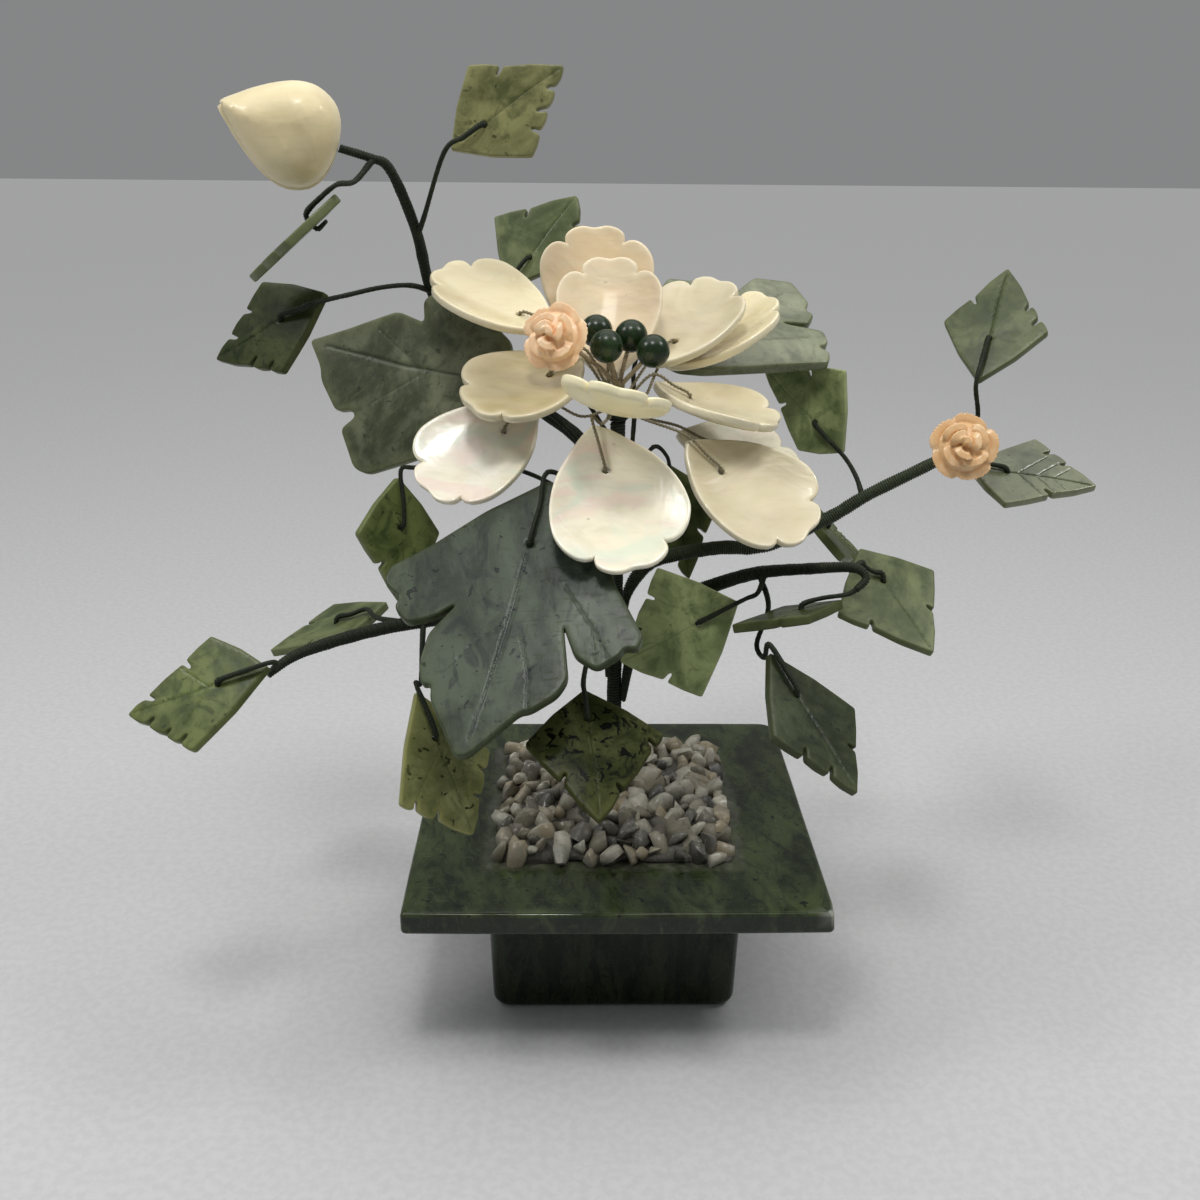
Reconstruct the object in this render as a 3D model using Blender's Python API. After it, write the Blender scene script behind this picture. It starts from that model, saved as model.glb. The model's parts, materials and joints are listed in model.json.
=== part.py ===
"""Jade bonsai ornament: carved leaves, shell petals and beads on thread-wrapped wire, in a square pot.

All sizes are real ones. Positions and lengths below are in millimetres and angles in degrees; MM turns
them into the metres that the objects use. The origin is the centre of the pot's underside, +Z is up and
-Y is the side that the flower faces.
"""

from math import cos, pi, radians, sin

import bmesh
import bpy
from mathutils import Euler, Matrix, Vector

MM = 0.001
GAP = 0.3
WELD = 0.000001
SMOOTH_ANGLE = radians(35)
DRILL_SIDES = 12
DRILL_SPARE = 5.0

# Pot
RIM_WIDTH = 75.0
RIM_TOP = 31.3
RIM_THICKNESS = 4.3
RIM_CORNER = 2.2
RIM_BEVEL = 0.7
OPENING_WIDTH = 41.0
BODY_TOP_WIDTH = 47.4
BODY_FOOT_WIDTH = 46.0
BODY_CORNER = 3.0
FOOT_ROUNDING = 2.5
BODY_WALL = 3.2
BODY_FLOOR = 5.0
CORNER_STEPS = 4
FILL_STEP = 2.0

# Gravel bed
GRAVEL_WIDTH = 46.0
GRAVEL_EDGE_HEIGHT = 1.6
GRAVEL_CROWN = 4.6
GRAVEL_BUMP = 0.9
GRAVEL_CELLS = 12
GRAVEL_EDGE_ROUGHNESS = 0.4

# Stems
TRUNK_RADIUS = 1.5
TRUNK_FOOT = 20.0
TRUNK_TOP = 108.5
LEAF_WIRE_RADIUS = 0.5
PETAL_WIRE_RADIUS = 0.35
STAMEN_WIRE_RADIUS = 0.45
COLLAR_RADIUS = 2.2
COLLAR_HEIGHT = TRUNK_TOP + GAP + COLLAR_RADIUS
KNOT_RADIUS = 1.2
KNOT_HEIGHT = COLLAR_HEIGHT + COLLAR_RADIUS + GAP + KNOT_RADIUS

# Leaves
LEAF_THICKNESS = 1.6
LARGE_LEAF_THICKNESS = 2.0
LEAF_HOLE_RADIUS = 1.1
SAW_CUT_DEPTH = 1.1
SAW_CUT_WIDTH = 1.3
LEAF_SWELL = 0.5
LEAF_MIDDLE = 2.0
WIRE_LIFT = 1.0
WIRE_BEND = 1.2
WIRE_END = 0.9

# Petals
PETAL_THICKNESS = 1.8
PETAL_HOLE_RADIUS = 0.85
PETAL_HOLE_PLACE = 0.30
PETAL_CUP_ACROSS = 22.0
PETAL_CUP_ALONG = 50.0
PETAL_WIRE_LIFT = 0.85
PETAL_WIRE_BEND = 0.8
PETAL_WIRE_END = 0.6

# Beads, roses and bud
BEAD_RADIUS = 2.9
BEADS = {
    "bead_1": (-3.9, 3.5, 124.0),
    "bead_2": (-2.2, -2.5, 122.3),
    "bead_3": (2.2, 2.0, 123.4),
    "bead_4": (5.8, -3.0, 121.6),
}
ROSE_RADIUS = 6.0
PALE_ROSE_RADIUS = 6.4
ROSE_HEIGHT = 7.0
ROSE_SIDES = 15
BUD_LENGTH = 20.5
BUD_FLATNESS = 0.85
BUD_SIDES = 14

# A rose in rings from its back to its crown: share of the radius, share of the height, depth of the lobes.
ROSE_PROFILE = (
    (0.35, 0.0, 0.02),
    (0.80, 0.12, 0.05),
    (1.00, 0.38, 0.07),
    (0.86, 0.68, 0.05),
    (0.55, 0.92, 0.03),
    (0.22, 1.0, 0.0),
)

# The bud in rings from its foot to its tip: share of the length, radius.
BUD_PROFILE = (
    (0.0, 1.8),
    (0.04, 4.6),
    (0.14, 7.2),
    (0.30, 8.6),
    (0.46, 8.2),
    (0.64, 6.5),
    (0.80, 4.2),
    (0.93, 1.9),
    (1.0, 0.6),
)

# Half of a petal's outline, from its pointed foot to its tip, as shares of the length and the width.
# The dip before the last lobe is the notch between two scallops.
PETAL_PROFILE = (
    (0.10, 0.17),
    (0.28, 0.36),
    (0.48, 0.47),
    (0.66, 0.50),
    (0.80, 0.45),
    (0.86, 0.37),
    (0.86, 0.29),
    (0.95, 0.22),
    (0.99, 0.12),
)

# Each small leaf is a kite around its drilled hole: "at" is the hole, "aim" is the heading of its tip, the
# climb of its tip and its roll, and the corners are measured from the hole with the tip along +X and the
# left corner along +Y. Cuts are shares of the way from a side corner to the tip.
SMALL_LEAVES = {
    "leaf_01_bud_stem": dict(
        at=(-23, 5, 158), aim=(8, 35, 70), foot=7, left=(3.5, 9.5), tip=16.5, right=(3.5, -9),
        left_cuts=(0.35,), right_cuts=(0.27, 0.52, 0.75)),
    "leaf_02_under_bud": dict(
        at=(-51, -8, 143.3), aim=(156, -37, -19), foot=7, left=(1, 8.5), tip=16, right=(1, -8.5),
        left_cuts=(0.3, 0.65), right_cuts=(0.4, 0.7)),
    "leaf_03_left": dict(
        at=(-58, -2, 126.5), aim=(170, -30, -55), foot=9.5, left=(2.5, 9.5), tip=14.5, right=(1.5, -9),
        left_cuts=(0.2, 0.46), right_cuts=(0.38, 0.7)),
    "leaf_04_back_top": dict(
        at=(-16.5, 31, 134), aim=(20, 50, 45), foot=7.5, left=(2.5, 11.5), tip=15, right=(7, -8),
        left_cuts=(0.42,), right_cuts=(0.5,)),
    "leaf_06_left_hanging": dict(
        at=(-38.5, -5.5, 90.5), aim=(278, -70, -35), foot=9, left=(1, 8.5), tip=14, right=(1, -9),
        left_cuts=(0.35, 0.7), right_cuts=(0.45,)),
    "leaf_08_low_back": dict(
        at=(-53.5, 5.5, 68), aim=(195, -19, 0), foot=10.5, left=(-1, 8.5), tip=13.5, right=(-0.5, -10.5),
        left_cuts=(0.5,), right_cuts=(0.45,)),
    "leaf_09_low_left": dict(
        at=(-66.5, -30, 71), aim=(180, -20, -40), foot=9, left=(5.5, 10.5), tip=16.5, right=(0.5, -9.5),
        left_cuts=(0.2, 0.42, 0.7), right_cuts=(0.33, 0.78)),
    "leaf_10_front_left": dict(
        at=(-31, -30, 61), aim=(315, -58, 10), foot=8.5, left=(5.5, 8.5), tip=17.5, right=(8, -10),
        left_cuts=(0.25, 0.55), right_cuts=(0.2, 0.5)),
    "leaf_11_front": dict(
        at=(-5.5, -36, 67.5), aim=(277, -37, 4), foot=5.5, left=(4, 12), tip=18, right=(3.5, -10.5),
        left_cuts=(0.15, 0.65), right_cuts=(0.5,)),
    "leaf_12_low_middle": dict(
        at=(15, -6, 72.5), aim=(190, -25, -64), foot=8.5, left=(5.5, 12.5), tip=16, right=(2, -12.5),
        left_cuts=(0.45,), right_cuts=(0.3, 0.65)),
    "leaf_13_right_flat": dict(
        at=(31.5, -18, 79.8), aim=(187, -11, 15), foot=7.5, left=(1, 8.5), tip=12.5, right=(1, -8.5),
        left_cuts=(0.4,), right_cuts=(0.4,)),
    "leaf_14_right_hanging": dict(
        at=(29.5, -30, 69), aim=(310, -42, 0), foot=8.5, left=(6, 10.5), tip=19, right=(5, -9.5),
        left_cuts=(0.5,), right_cuts=(0.37, 0.68)),
    "leaf_15_right": dict(
        at=(48, -8, 81.5), aim=(300, -33, 8), foot=8, left=(1, 11), tip=16.5, right=(3.5, -12),
        left_cuts=(0.5,), right_cuts=(0.35,)),
    "leaf_16_behind_petals": dict(
        at=(43, 20, 83), aim=(30, -38, 28), foot=8, left=(1, 8.5), tip=15, right=(1, -8.5),
        left_cuts=(0.45,), right_cuts=(0.45,)),
    "leaf_17_behind_flower": dict(
        at=(12, 17, 89), aim=(290, -60, 20), foot=8, left=(1, 8.5), tip=15.5, right=(1, -8.5),
        left_cuts=(0.45,), right_cuts=(0.5, 0.75)),
    "leaf_18_behind_right": dict(
        at=(40.5, 28, 102.5), aim=(140, 38, -79), foot=8.5, left=(-1.5, 6.5), tip=17, right=(3, -11.5),
        left_cuts=(0.5,), right_cuts=(0.42,)),
    "leaf_19_top_right": dict(
        at=(68.5, 11.5, 122), aim=(60, 52, 3), foot=9, left=(2.5, 9), tip=15, right=(2.5, -10),
        left_cuts=(0.45,), right_cuts=(0.2, 0.42)),
    "leaf_20_far_right": dict(
        at=(74, 9, 97.5), aim=(347, -6, 27), foot=7, left=(5, 11), tip=16.5, right=(0, -9),
        left_cuts=(0.3, 0.55), right_cuts=(0.5,)),
}

# The three large leaves have three lobes each, so their outlines are drawn corner by corner.
LARGE_LEAVES = {
    "leaf_05_left_large": dict(
        at=(-28, 9, 115), aim=(155, 7, -66),
        outline=(
            (-10, 0), (-8, 7), (5, 17), (14, 22), (17, 21.5), (22, 15), (19.5, 12), (21, 11), (24, 12),
            (29, 7), (30, 4.5), (34, 0), (26, -4), (17, -9), (11, -8), (12.5, -12), (10, -14.5),
            (0, -12), (-7, -8),
        )),
    "leaf_07_front_large": dict(
        at=(-15, -23, 93), aim=(-108, -41, -7),
        outline=(
            (-13, 0), (-10, 9), (-3, 13), (4, 15), (13, 22), (15.5, 21.5), (15.5, 19.5), (17, 19),
            (20, 16), (18.5, 12), (13.5, 9), (22.5, 12), (25.5, 11), (29, 7.5), (29.5, 6), (38, 0),
            (38.5, -2), (30, -8.5), (27.5, -9), (28, -10.5), (24.5, -12), (19, -12), (13, -9),
            (16, -12), (18, -16), (15.5, -19), (13.5, -18.5), (11.5, -22), (8.5, -22), (3, -16),
            (-5, -9),
        )),
    "leaf_21_right_large": dict(
        at=(16.5, 24, 117), aim=(8, -3, 25),
        outline=(
            (-10, 0), (-5, -5), (0, -5.5), (26, -1.5), (27, 2), (25, 4), (27.5, 5), (27.5, 9.5),
            (20.5, 11.5), (19.5, 12.5), (25, 12), (27, 15.5), (25.5, 17.5), (27, 20), (25, 28),
            (17, 29), (11, 22), (7, 26), (-2, 27), (-6, 20), (-8, 10),
        )),
}

LEAVES = {**SMALL_LEAVES, **LARGE_LEAVES}

# Each petal: its hole, its aim as for a leaf, its length and width, and where its wire bends on the way.
PETALS = {
    "petal_01_left": dict(at=(-17.5, 6.5, 126.5), aim=(153, 16, -15), size=(25, 20)),
    "petal_02_back": dict(at=(-3.2, 19.5, 124.2), aim=(96, 58, -2), size=(25, 21.5), via=((-1.5, 7, 112.5),)),
    "petal_03_back_inner": dict(at=(-1.5, 8.5, 121), aim=(88, 46, -2), size=(25, 19.5)),
    "petal_04_right_back": dict(at=(10.6, 12, 121), aim=(47, 30, 9), size=(23.5, 19)),
    "petal_05_right_outer": dict(at=(15.5, 15.5, 119.2), aim=(28, 22, 8), size=(25, 20), via=((5, 5, 112),)),
    "petal_06_left_inner": dict(at=(-12, -2.5, 117.3), aim=(210, -21, -20), size=(23.5, 20.5)),
    "petal_07_front_left": dict(at=(-20, -5, 108), aim=(206, -38, -30), size=(25, 21), via=((-7, -2, 110),)),
    "petal_08_front_inner": dict(at=(-1.5, -14, 114.6), aim=(270, 11, -14), size=(25, 18)),
    "petal_09_front": dict(
        at=(-2.5, -16.5, 104), aim=(291, -48, 18), size=(28.5, 23), via=((-3, -6, 109.5),)),
    "petal_10_right_inner": dict(at=(13, 2, 112.5), aim=(347, -20, 4), size=(23.5, 20.5)),
    "petal_11_right_front": dict(
        at=(18, -7.5, 101.5), aim=(338, -35, 34), size=(27, 21), via=((5, -2, 109.3),)),
    "petal_12_right_back": dict(at=(18, 6.5, 102.5), aim=(10, -22, 20), size=(25, 21), via=((5, 2, 108.8),)),
}


def clear_scene():
    """Remove the objects that the file starts with."""
    for old in list(bpy.data.objects):
        bpy.data.objects.remove(old, do_unlink=True)


def material(name, color, roughness):
    """Make a Principled material of one colour."""
    result = bpy.data.materials.new(name)
    result.use_nodes = True
    shader = result.node_tree.nodes["Principled BSDF"]
    shader.inputs["Base Color"].default_value = (*color, 1.0)
    shader.inputs["Roughness"].default_value = roughness
    shader.inputs["Metallic"].default_value = 0.0
    return result


def add_object(name, mesh, finish=None):
    """Put a mesh into the scene under its node's name."""
    result = bpy.data.objects.new(name, mesh)
    bpy.context.scene.collection.objects.link(result)
    if finish:
        mesh.materials.clear()
        mesh.materials.append(finish)
    return result


def mesh_from(name, bm):
    """Finish a bmesh: faces out, then a mesh in metres."""
    bmesh.ops.recalc_face_normals(bm, faces=bm.faces)
    bmesh.ops.scale(bm, vec=(MM, MM, MM), verts=bm.verts)
    mesh = bpy.data.meshes.new(name)
    bm.to_mesh(mesh)
    bm.free()
    smooth(mesh)
    return mesh


def smooth(mesh):
    """Shade the rounded parts of a mesh smooth and keep its crisp edges."""
    mesh.shade_smooth()
    mesh.set_sharp_from_angle(angle=SMOOTH_ANGLE)


def place(obj, at, aim):
    """Set an object's location and its heading, climb and roll."""
    heading, climb, roll = (radians(angle) for angle in aim)
    obj.location = Vector(at) * MM
    obj.rotation_euler = Euler((roll, -climb, heading), "XYZ")


def local_point(at, aim, x, y, z):
    """World point, in millimetres, of a point measured from a placed leaf's or petal's hole."""
    heading, climb, roll = (radians(angle) for angle in aim)
    return Vector(at) + Euler((roll, -climb, heading), "XYZ").to_matrix() @ Vector((x, y, z))


def hide_helper(obj):
    """Keep a Boolean operand out of the model."""
    obj.hide_render = True
    obj.display_type = "WIRE"


def boolean(target, operand, operation):
    """Join or cut an object with a hidden operand."""
    hide_helper(operand)
    change = target.modifiers.new(operation.title(), "BOOLEAN")
    change.operation = operation
    change.solver = "EXACT"
    change.object = operand


def rounded_square(half, corner, height):
    """Points of a square ring with round corners."""
    points = []
    for quarter in range(4):
        turn = Matrix.Rotation(quarter * pi / 2, 3, "Z")
        for step in range(CORNER_STEPS + 1):
            angle = step * pi / 2 / CORNER_STEPS
            x = half - corner + corner * cos(angle)
            y = half - corner + corner * sin(angle)
            points.append(turn @ Vector((x, y, height)))
    return points


def loft(rings, closed):
    """Bridge rings of equal length, either into a closed tube or with a face at each end."""
    bm = bmesh.new()
    rows = [[bm.verts.new(point) for point in ring] for ring in rings]
    pairs = list(zip(rows, rows[1:]))
    if closed:
        pairs.append((rows[-1], rows[0]))
    else:
        bm.faces.new(rows[0])
        bm.faces.new(rows[-1])
    for lower, upper in pairs:
        for i in range(len(lower)):
            bm.faces.new((lower[i - 1], lower[i], upper[i], upper[i - 1]))
    return bm


def trunk_drill(name, bottom, top):
    """Upright cylinder on the Z axis that leaves room for the trunk."""
    radius = TRUNK_RADIUS + GAP
    bm = bmesh.new()
    bmesh.ops.create_cone(
        bm, cap_ends=True, segments=DRILL_SIDES, radius1=radius, radius2=radius, depth=top - bottom,
        matrix=Matrix.Translation((0, 0, (bottom + top) / 2)))
    return add_object(name, mesh_from(name, bm))


def ball(name, radius, segments, centre=(0, 0, 0)):
    """Round ball as a mesh in metres."""
    bm = bmesh.new()
    bmesh.ops.create_uvsphere(bm, u_segments=segments, v_segments=segments // 2 + 2, radius=radius)
    bmesh.ops.translate(bm, verts=bm.verts, vec=centre)
    return mesh_from(name, bm)


def smooth_route(points, steps):
    """Read points from the smooth curve that passes through a route's own points."""
    route = [Vector(point) for point in points]
    ends = [route[0] * 2 - route[1], *route, route[-1] * 2 - route[-2]]
    result = []
    for i in range(1, len(ends) - 2):
        before, start, finish, after = ends[i - 1:i + 3]
        for step in range(steps):
            t = step / steps
            bend = (before * 2 - start * 5 + finish * 4 - after) * t * t
            swing = (start * 3 - before - finish * 3 + after) * t * t * t
            result.append((start * 2 + (finish - before) * t + bend + swing) / 2)
    result.append(route[-1])
    return result


def tube_mesh(name, points, radii, sides_level):
    """Round tube through the points, with flat ends, as a mesh in metres."""
    curve = bpy.data.curves.new(name, "CURVE")
    curve.dimensions = "3D"
    curve.bevel_depth = MM
    curve.bevel_resolution = sides_level
    curve.use_fill_caps = True
    curve.render_resolution_u = 0
    spline = curve.splines.new("POLY")
    spline.points.add(len(points) - 1)
    for place_point, point, radius in zip(spline.points, points, radii):
        place_point.co = (*(point * MM), 1.0)
        place_point.radius = radius
    guide = bpy.data.objects.new(name, curve)
    bpy.context.scene.collection.objects.link(guide)
    bpy.context.view_layer.update()
    mesh = bpy.data.meshes.new_from_object(guide.evaluated_get(bpy.context.evaluated_depsgraph_get()))
    bpy.data.objects.remove(guide, do_unlink=True)
    bm = bmesh.new()
    bm.from_mesh(mesh)
    bmesh.ops.remove_doubles(bm, verts=bm.verts, dist=WELD)
    bmesh.ops.recalc_face_normals(bm, faces=bm.faces)
    bm.to_mesh(mesh)
    bm.free()
    mesh.name = name
    smooth(mesh)
    return mesh


def stem(name, route, finish=None, radii=(LEAF_WIRE_RADIUS,), sides_level=1, steps=2):
    """Stem through a route, its radius changing evenly between the given radii."""
    points = smooth_route(route, steps)
    last = len(points) - 1
    widths = []
    for i in range(len(points)):
        share = i / last * (len(radii) - 1)
        low = min(int(share), len(radii) - 2) if len(radii) > 1 else 0
        high = min(low + 1, len(radii) - 1)
        widths.append(radii[low] + (radii[high] - radii[low]) * (share - low))
    return add_object(name, tube_mesh(name, points, widths, sides_level), finish)


def leaf_foot(leaf):
    """Distance from a leaf's hole to its foot."""
    return leaf["foot"] if "foot" in leaf else -leaf["outline"][0][0]


def leaf_wire_end(leaf, side=None):
    """Last points of a leaf's wire: round its foot, or in from one side, over the face and down the hole."""
    at, aim = leaf["at"], leaf["aim"]
    thickness = LARGE_LEAF_THICKNESS if "outline" in leaf else LEAF_THICKNESS
    foot = leaf_foot(leaf)
    start = (-foot - WIRE_BEND, 0, WIRE_LIFT * 0.7) if side is None else (*side, WIRE_LIFT + GAP)
    path = (
        start,
        (start[0] / 2, start[1] / 2, WIRE_LIFT + 0.1),
        (-LEAF_HOLE_RADIUS, 0, WIRE_LIFT + 0.1),
        (-0.05, 0, GAP),
        (0, 0, -thickness - WIRE_END),
    )
    return [local_point(at, aim, *point) for point in path]


def petal_wire_end(petal):
    """Last points of a petal's wire: over the hollow face from its foot, then down through the hole."""
    at, aim = petal["at"], petal["aim"]
    foot = PETAL_HOLE_PLACE * petal["size"][0]
    foot_rise = foot * foot / (2 * PETAL_CUP_ALONG)
    path = (
        (-foot - PETAL_WIRE_BEND, 0, foot_rise + PETAL_WIRE_LIFT),
        (-foot / 2, 0, foot_rise / 4 + PETAL_WIRE_LIFT),
        (-PETAL_HOLE_RADIUS, 0, PETAL_WIRE_LIFT),
        (-0.05, 0, 0.1),
        (0, 0, -PETAL_THICKNESS - PETAL_WIRE_END),
    )
    return [local_point(at, aim, *point) for point in path]


def plate(name, outline, hole_radius, thickness, finish):
    """Flat plate with a drilled hole at its origin, its face at height 0."""
    bm = bmesh.new()
    rim = [bm.verts.new((x, y, 0)) for x, y in outline]
    edges = [bm.edges.new((rim[i - 1], rim[i])) for i in range(len(rim))]
    hole = bmesh.ops.create_circle(bm, cap_ends=False, segments=8, radius=hole_radius)
    edges += list({edge for vert in hole["verts"] for edge in vert.link_edges})
    bmesh.ops.triangle_fill(bm, use_beauty=True, use_dissolve=False, edges=edges, normal=(0, 0, 1))
    extruded = bmesh.ops.extrude_face_region(bm, geom=bm.faces[:])
    lowered = [item for item in extruded["geom"] if isinstance(item, bmesh.types.BMVert)]
    bmesh.ops.translate(bm, verts=lowered, vec=(0, 0, -thickness))
    return add_object(name, mesh_from(name, bm), finish)


def saw_cut(start, end, share, inward):
    """Three points of a small notch in a straight edge."""
    run = (end - start).normalized()
    middle = start + (end - start) * share
    half = run * SAW_CUT_WIDTH / 2
    return [middle - half, middle + inward * SAW_CUT_DEPTH, middle + half]


def small_leaf_outline(leaf):
    """Kite outline with saw cuts along the two edges that meet at the tip."""
    foot, tip = Vector((-leaf["foot"], 0)), Vector((leaf["tip"], 0))
    left, right = Vector(leaf["left"]), Vector(leaf["right"])
    centre = Vector((LEAF_MIDDLE, 0))

    def cuts(corner, shares):
        run = (tip - corner).normalized()
        inward = Vector((-run.y, run.x))
        if inward.dot(centre - corner) < 0:
            inward = -inward
        return [point for share in shares for point in saw_cut(corner, tip, share, inward)]

    def swell(corner):
        return (foot + corner) / 2 + (corner + foot - centre * 2).normalized() * LEAF_SWELL

    points = [foot, swell(right), right, *cuts(right, leaf["right_cuts"]), tip]
    points += [*reversed(cuts(left, leaf["left_cuts"])), left, swell(left)]
    return [tuple(point) for point in points]


def make_leaves(finish):
    """All the leaves, each placed by its own hole."""
    for name, leaf in SMALL_LEAVES.items():
        blade = plate(name, small_leaf_outline(leaf), LEAF_HOLE_RADIUS, LEAF_THICKNESS, finish)
        place(blade, leaf["at"], leaf["aim"])
    for name, leaf in LARGE_LEAVES.items():
        blade = plate(name, leaf["outline"], LEAF_HOLE_RADIUS, LARGE_LEAF_THICKNESS, finish)
        place(blade, leaf["at"], leaf["aim"])


def make_petal(name, petal, finish):
    """Cupped petal with a scalloped tip, drilled at its origin, its hollow face up."""
    length, width = petal["size"]
    foot = PETAL_HOLE_PLACE * length
    half = [Vector((along * length - foot, across * width)) for along, across in PETAL_PROFILE]
    mirrored = [Vector((point.x, -point.y)) for point in reversed(half)]
    outline = [Vector((-foot, 0)), *half, Vector((length - foot, 0)), *mirrored]
    drilled = [point.normalized() * PETAL_HOLE_RADIUS for point in outline]
    between = [(rim + hole) / 2 for rim, hole in zip(outline, drilled)]

    def rise(point):
        return point.y ** 2 / (2 * PETAL_CUP_ACROSS) + point.x ** 2 / (2 * PETAL_CUP_ALONG)

    def ring(points, drop):
        return [Vector((point.x, point.y, rise(point) - drop)) for point in points]

    top = [ring(points, 0) for points in (drilled, between, outline)]
    under = [ring(points, PETAL_THICKNESS) for points in (outline, between, drilled)]
    bm = loft(top + under, closed=True)
    petal_object = add_object(name, mesh_from(name, bm), finish)
    place(petal_object, petal["at"], petal["aim"])


def make_pot(finish):
    """Square planter: a hollow tapering body with a closed flat foot, and the wide rim plate on it."""
    foot_half, top_half = BODY_FOOT_WIDTH / 2, BODY_TOP_WIDTH / 2
    body_top = RIM_TOP - RIM_THICKNESS - GAP
    inner_half = top_half - BODY_WALL
    body_rings = [
        rounded_square(foot_half - FOOT_ROUNDING, BODY_CORNER * 0.5, 0),
        rounded_square(foot_half - FOOT_ROUNDING * 0.3, BODY_CORNER * 0.8, FOOT_ROUNDING * 0.3),
        rounded_square(foot_half, BODY_CORNER, FOOT_ROUNDING),
        rounded_square(top_half, BODY_CORNER, body_top),
        rounded_square(inner_half, BODY_CORNER * 0.5, body_top),
        rounded_square(foot_half - BODY_WALL, BODY_CORNER * 0.5, BODY_FLOOR),
    ]
    add_object("pot_body", mesh_from("pot_body", loft(body_rings, closed=False)), finish)

    half, hole_half, under = RIM_WIDTH / 2, OPENING_WIDTH / 2, RIM_TOP - RIM_THICKNESS
    rim_rings = [
        rounded_square(half - RIM_BEVEL, RIM_CORNER, under),
        rounded_square(half, RIM_CORNER, under + RIM_BEVEL),
        rounded_square(half, RIM_CORNER, RIM_TOP - RIM_BEVEL),
        rounded_square(half - RIM_BEVEL, RIM_CORNER, RIM_TOP),
        rounded_square(hole_half, RIM_CORNER, RIM_TOP),
        rounded_square(hole_half, RIM_CORNER, under),
    ]
    add_object("pot_rim", mesh_from("pot_rim", loft(rim_rings, closed=True)), finish)


def make_fill(finish):
    """Plaster that fills the pot and holds the foot of the trunk in a blind hole."""
    top = RIM_TOP - GAP
    half = OPENING_WIDTH / 2 - GAP
    foot_half = BODY_FOOT_WIDTH / 2 - BODY_WALL - 2 * GAP
    rings = [
        rounded_square(foot_half, RIM_CORNER, BODY_FLOOR + GAP),
        rounded_square(foot_half, RIM_CORNER, BODY_FLOOR + FILL_STEP),
        rounded_square(half, RIM_CORNER, top),
    ]
    fill = add_object("plaster_fill", mesh_from("plaster_fill", loft(rings, closed=False)), finish)
    boolean(fill, trunk_drill("fill_drill", TRUNK_FOOT - GAP, top + DRILL_SPARE), "DIFFERENCE")


def gravel_height(x, y):
    """Height of the bed above the rim: a low crown, rough with pebbles."""
    half = GRAVEL_WIDTH / 2
    fall = (1 - (x / half) ** 2) * (1 - (y / half) ** 2)
    crown = GRAVEL_EDGE_HEIGHT + (GRAVEL_CROWN - GRAVEL_EDGE_HEIGHT) * fall ** 0.5
    rough = sin(x * 1.9 + y * 0.7) * cos(y * 2.1 - x * 0.5)
    return crown + GRAVEL_BUMP * rough * (GRAVEL_EDGE_ROUGHNESS + (1 - GRAVEL_EDGE_ROUGHNESS) * fall)


def make_gravel(finish):
    """Pebble bed heaped on the opening, one solid, with a hole for the trunk."""
    floor = RIM_TOP + GAP
    bm = bmesh.new()
    bmesh.ops.create_grid(bm, x_segments=GRAVEL_CELLS, y_segments=GRAVEL_CELLS, size=GRAVEL_WIDTH / 2)
    extruded = bmesh.ops.extrude_face_region(bm, geom=bm.faces[:])
    raised = [item for item in extruded["geom"] if isinstance(item, bmesh.types.BMVert)]
    for vert in raised:
        vert.co.z = floor + gravel_height(vert.co.x, vert.co.y)
    flat = set(bm.verts) - set(raised)
    for vert in flat:
        vert.co.z = floor
    bmesh.ops.dissolve_faces(bm, faces=[face for face in bm.faces if flat.issuperset(face.verts)])
    gravel = add_object("gravel", mesh_from("gravel", bm), finish)
    top = floor + GRAVEL_CROWN + GRAVEL_BUMP
    boolean(gravel, trunk_drill("gravel_drill", floor - DRILL_SPARE, top + DRILL_SPARE), "DIFFERENCE")


def unite(target, operands):
    """Join hidden tubes into a stem."""
    for operand in operands:
        boolean(target, operand, "UNION")


def twig(leaf_name, fork, side=None):
    """Leaf wire that forks from a branch: the points from the fork on, then round or over the leaf."""
    return stem(leaf_name.replace("leaf", "twig"), [*fork, *leaf_wire_end(LEAVES[leaf_name], side)])


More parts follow.
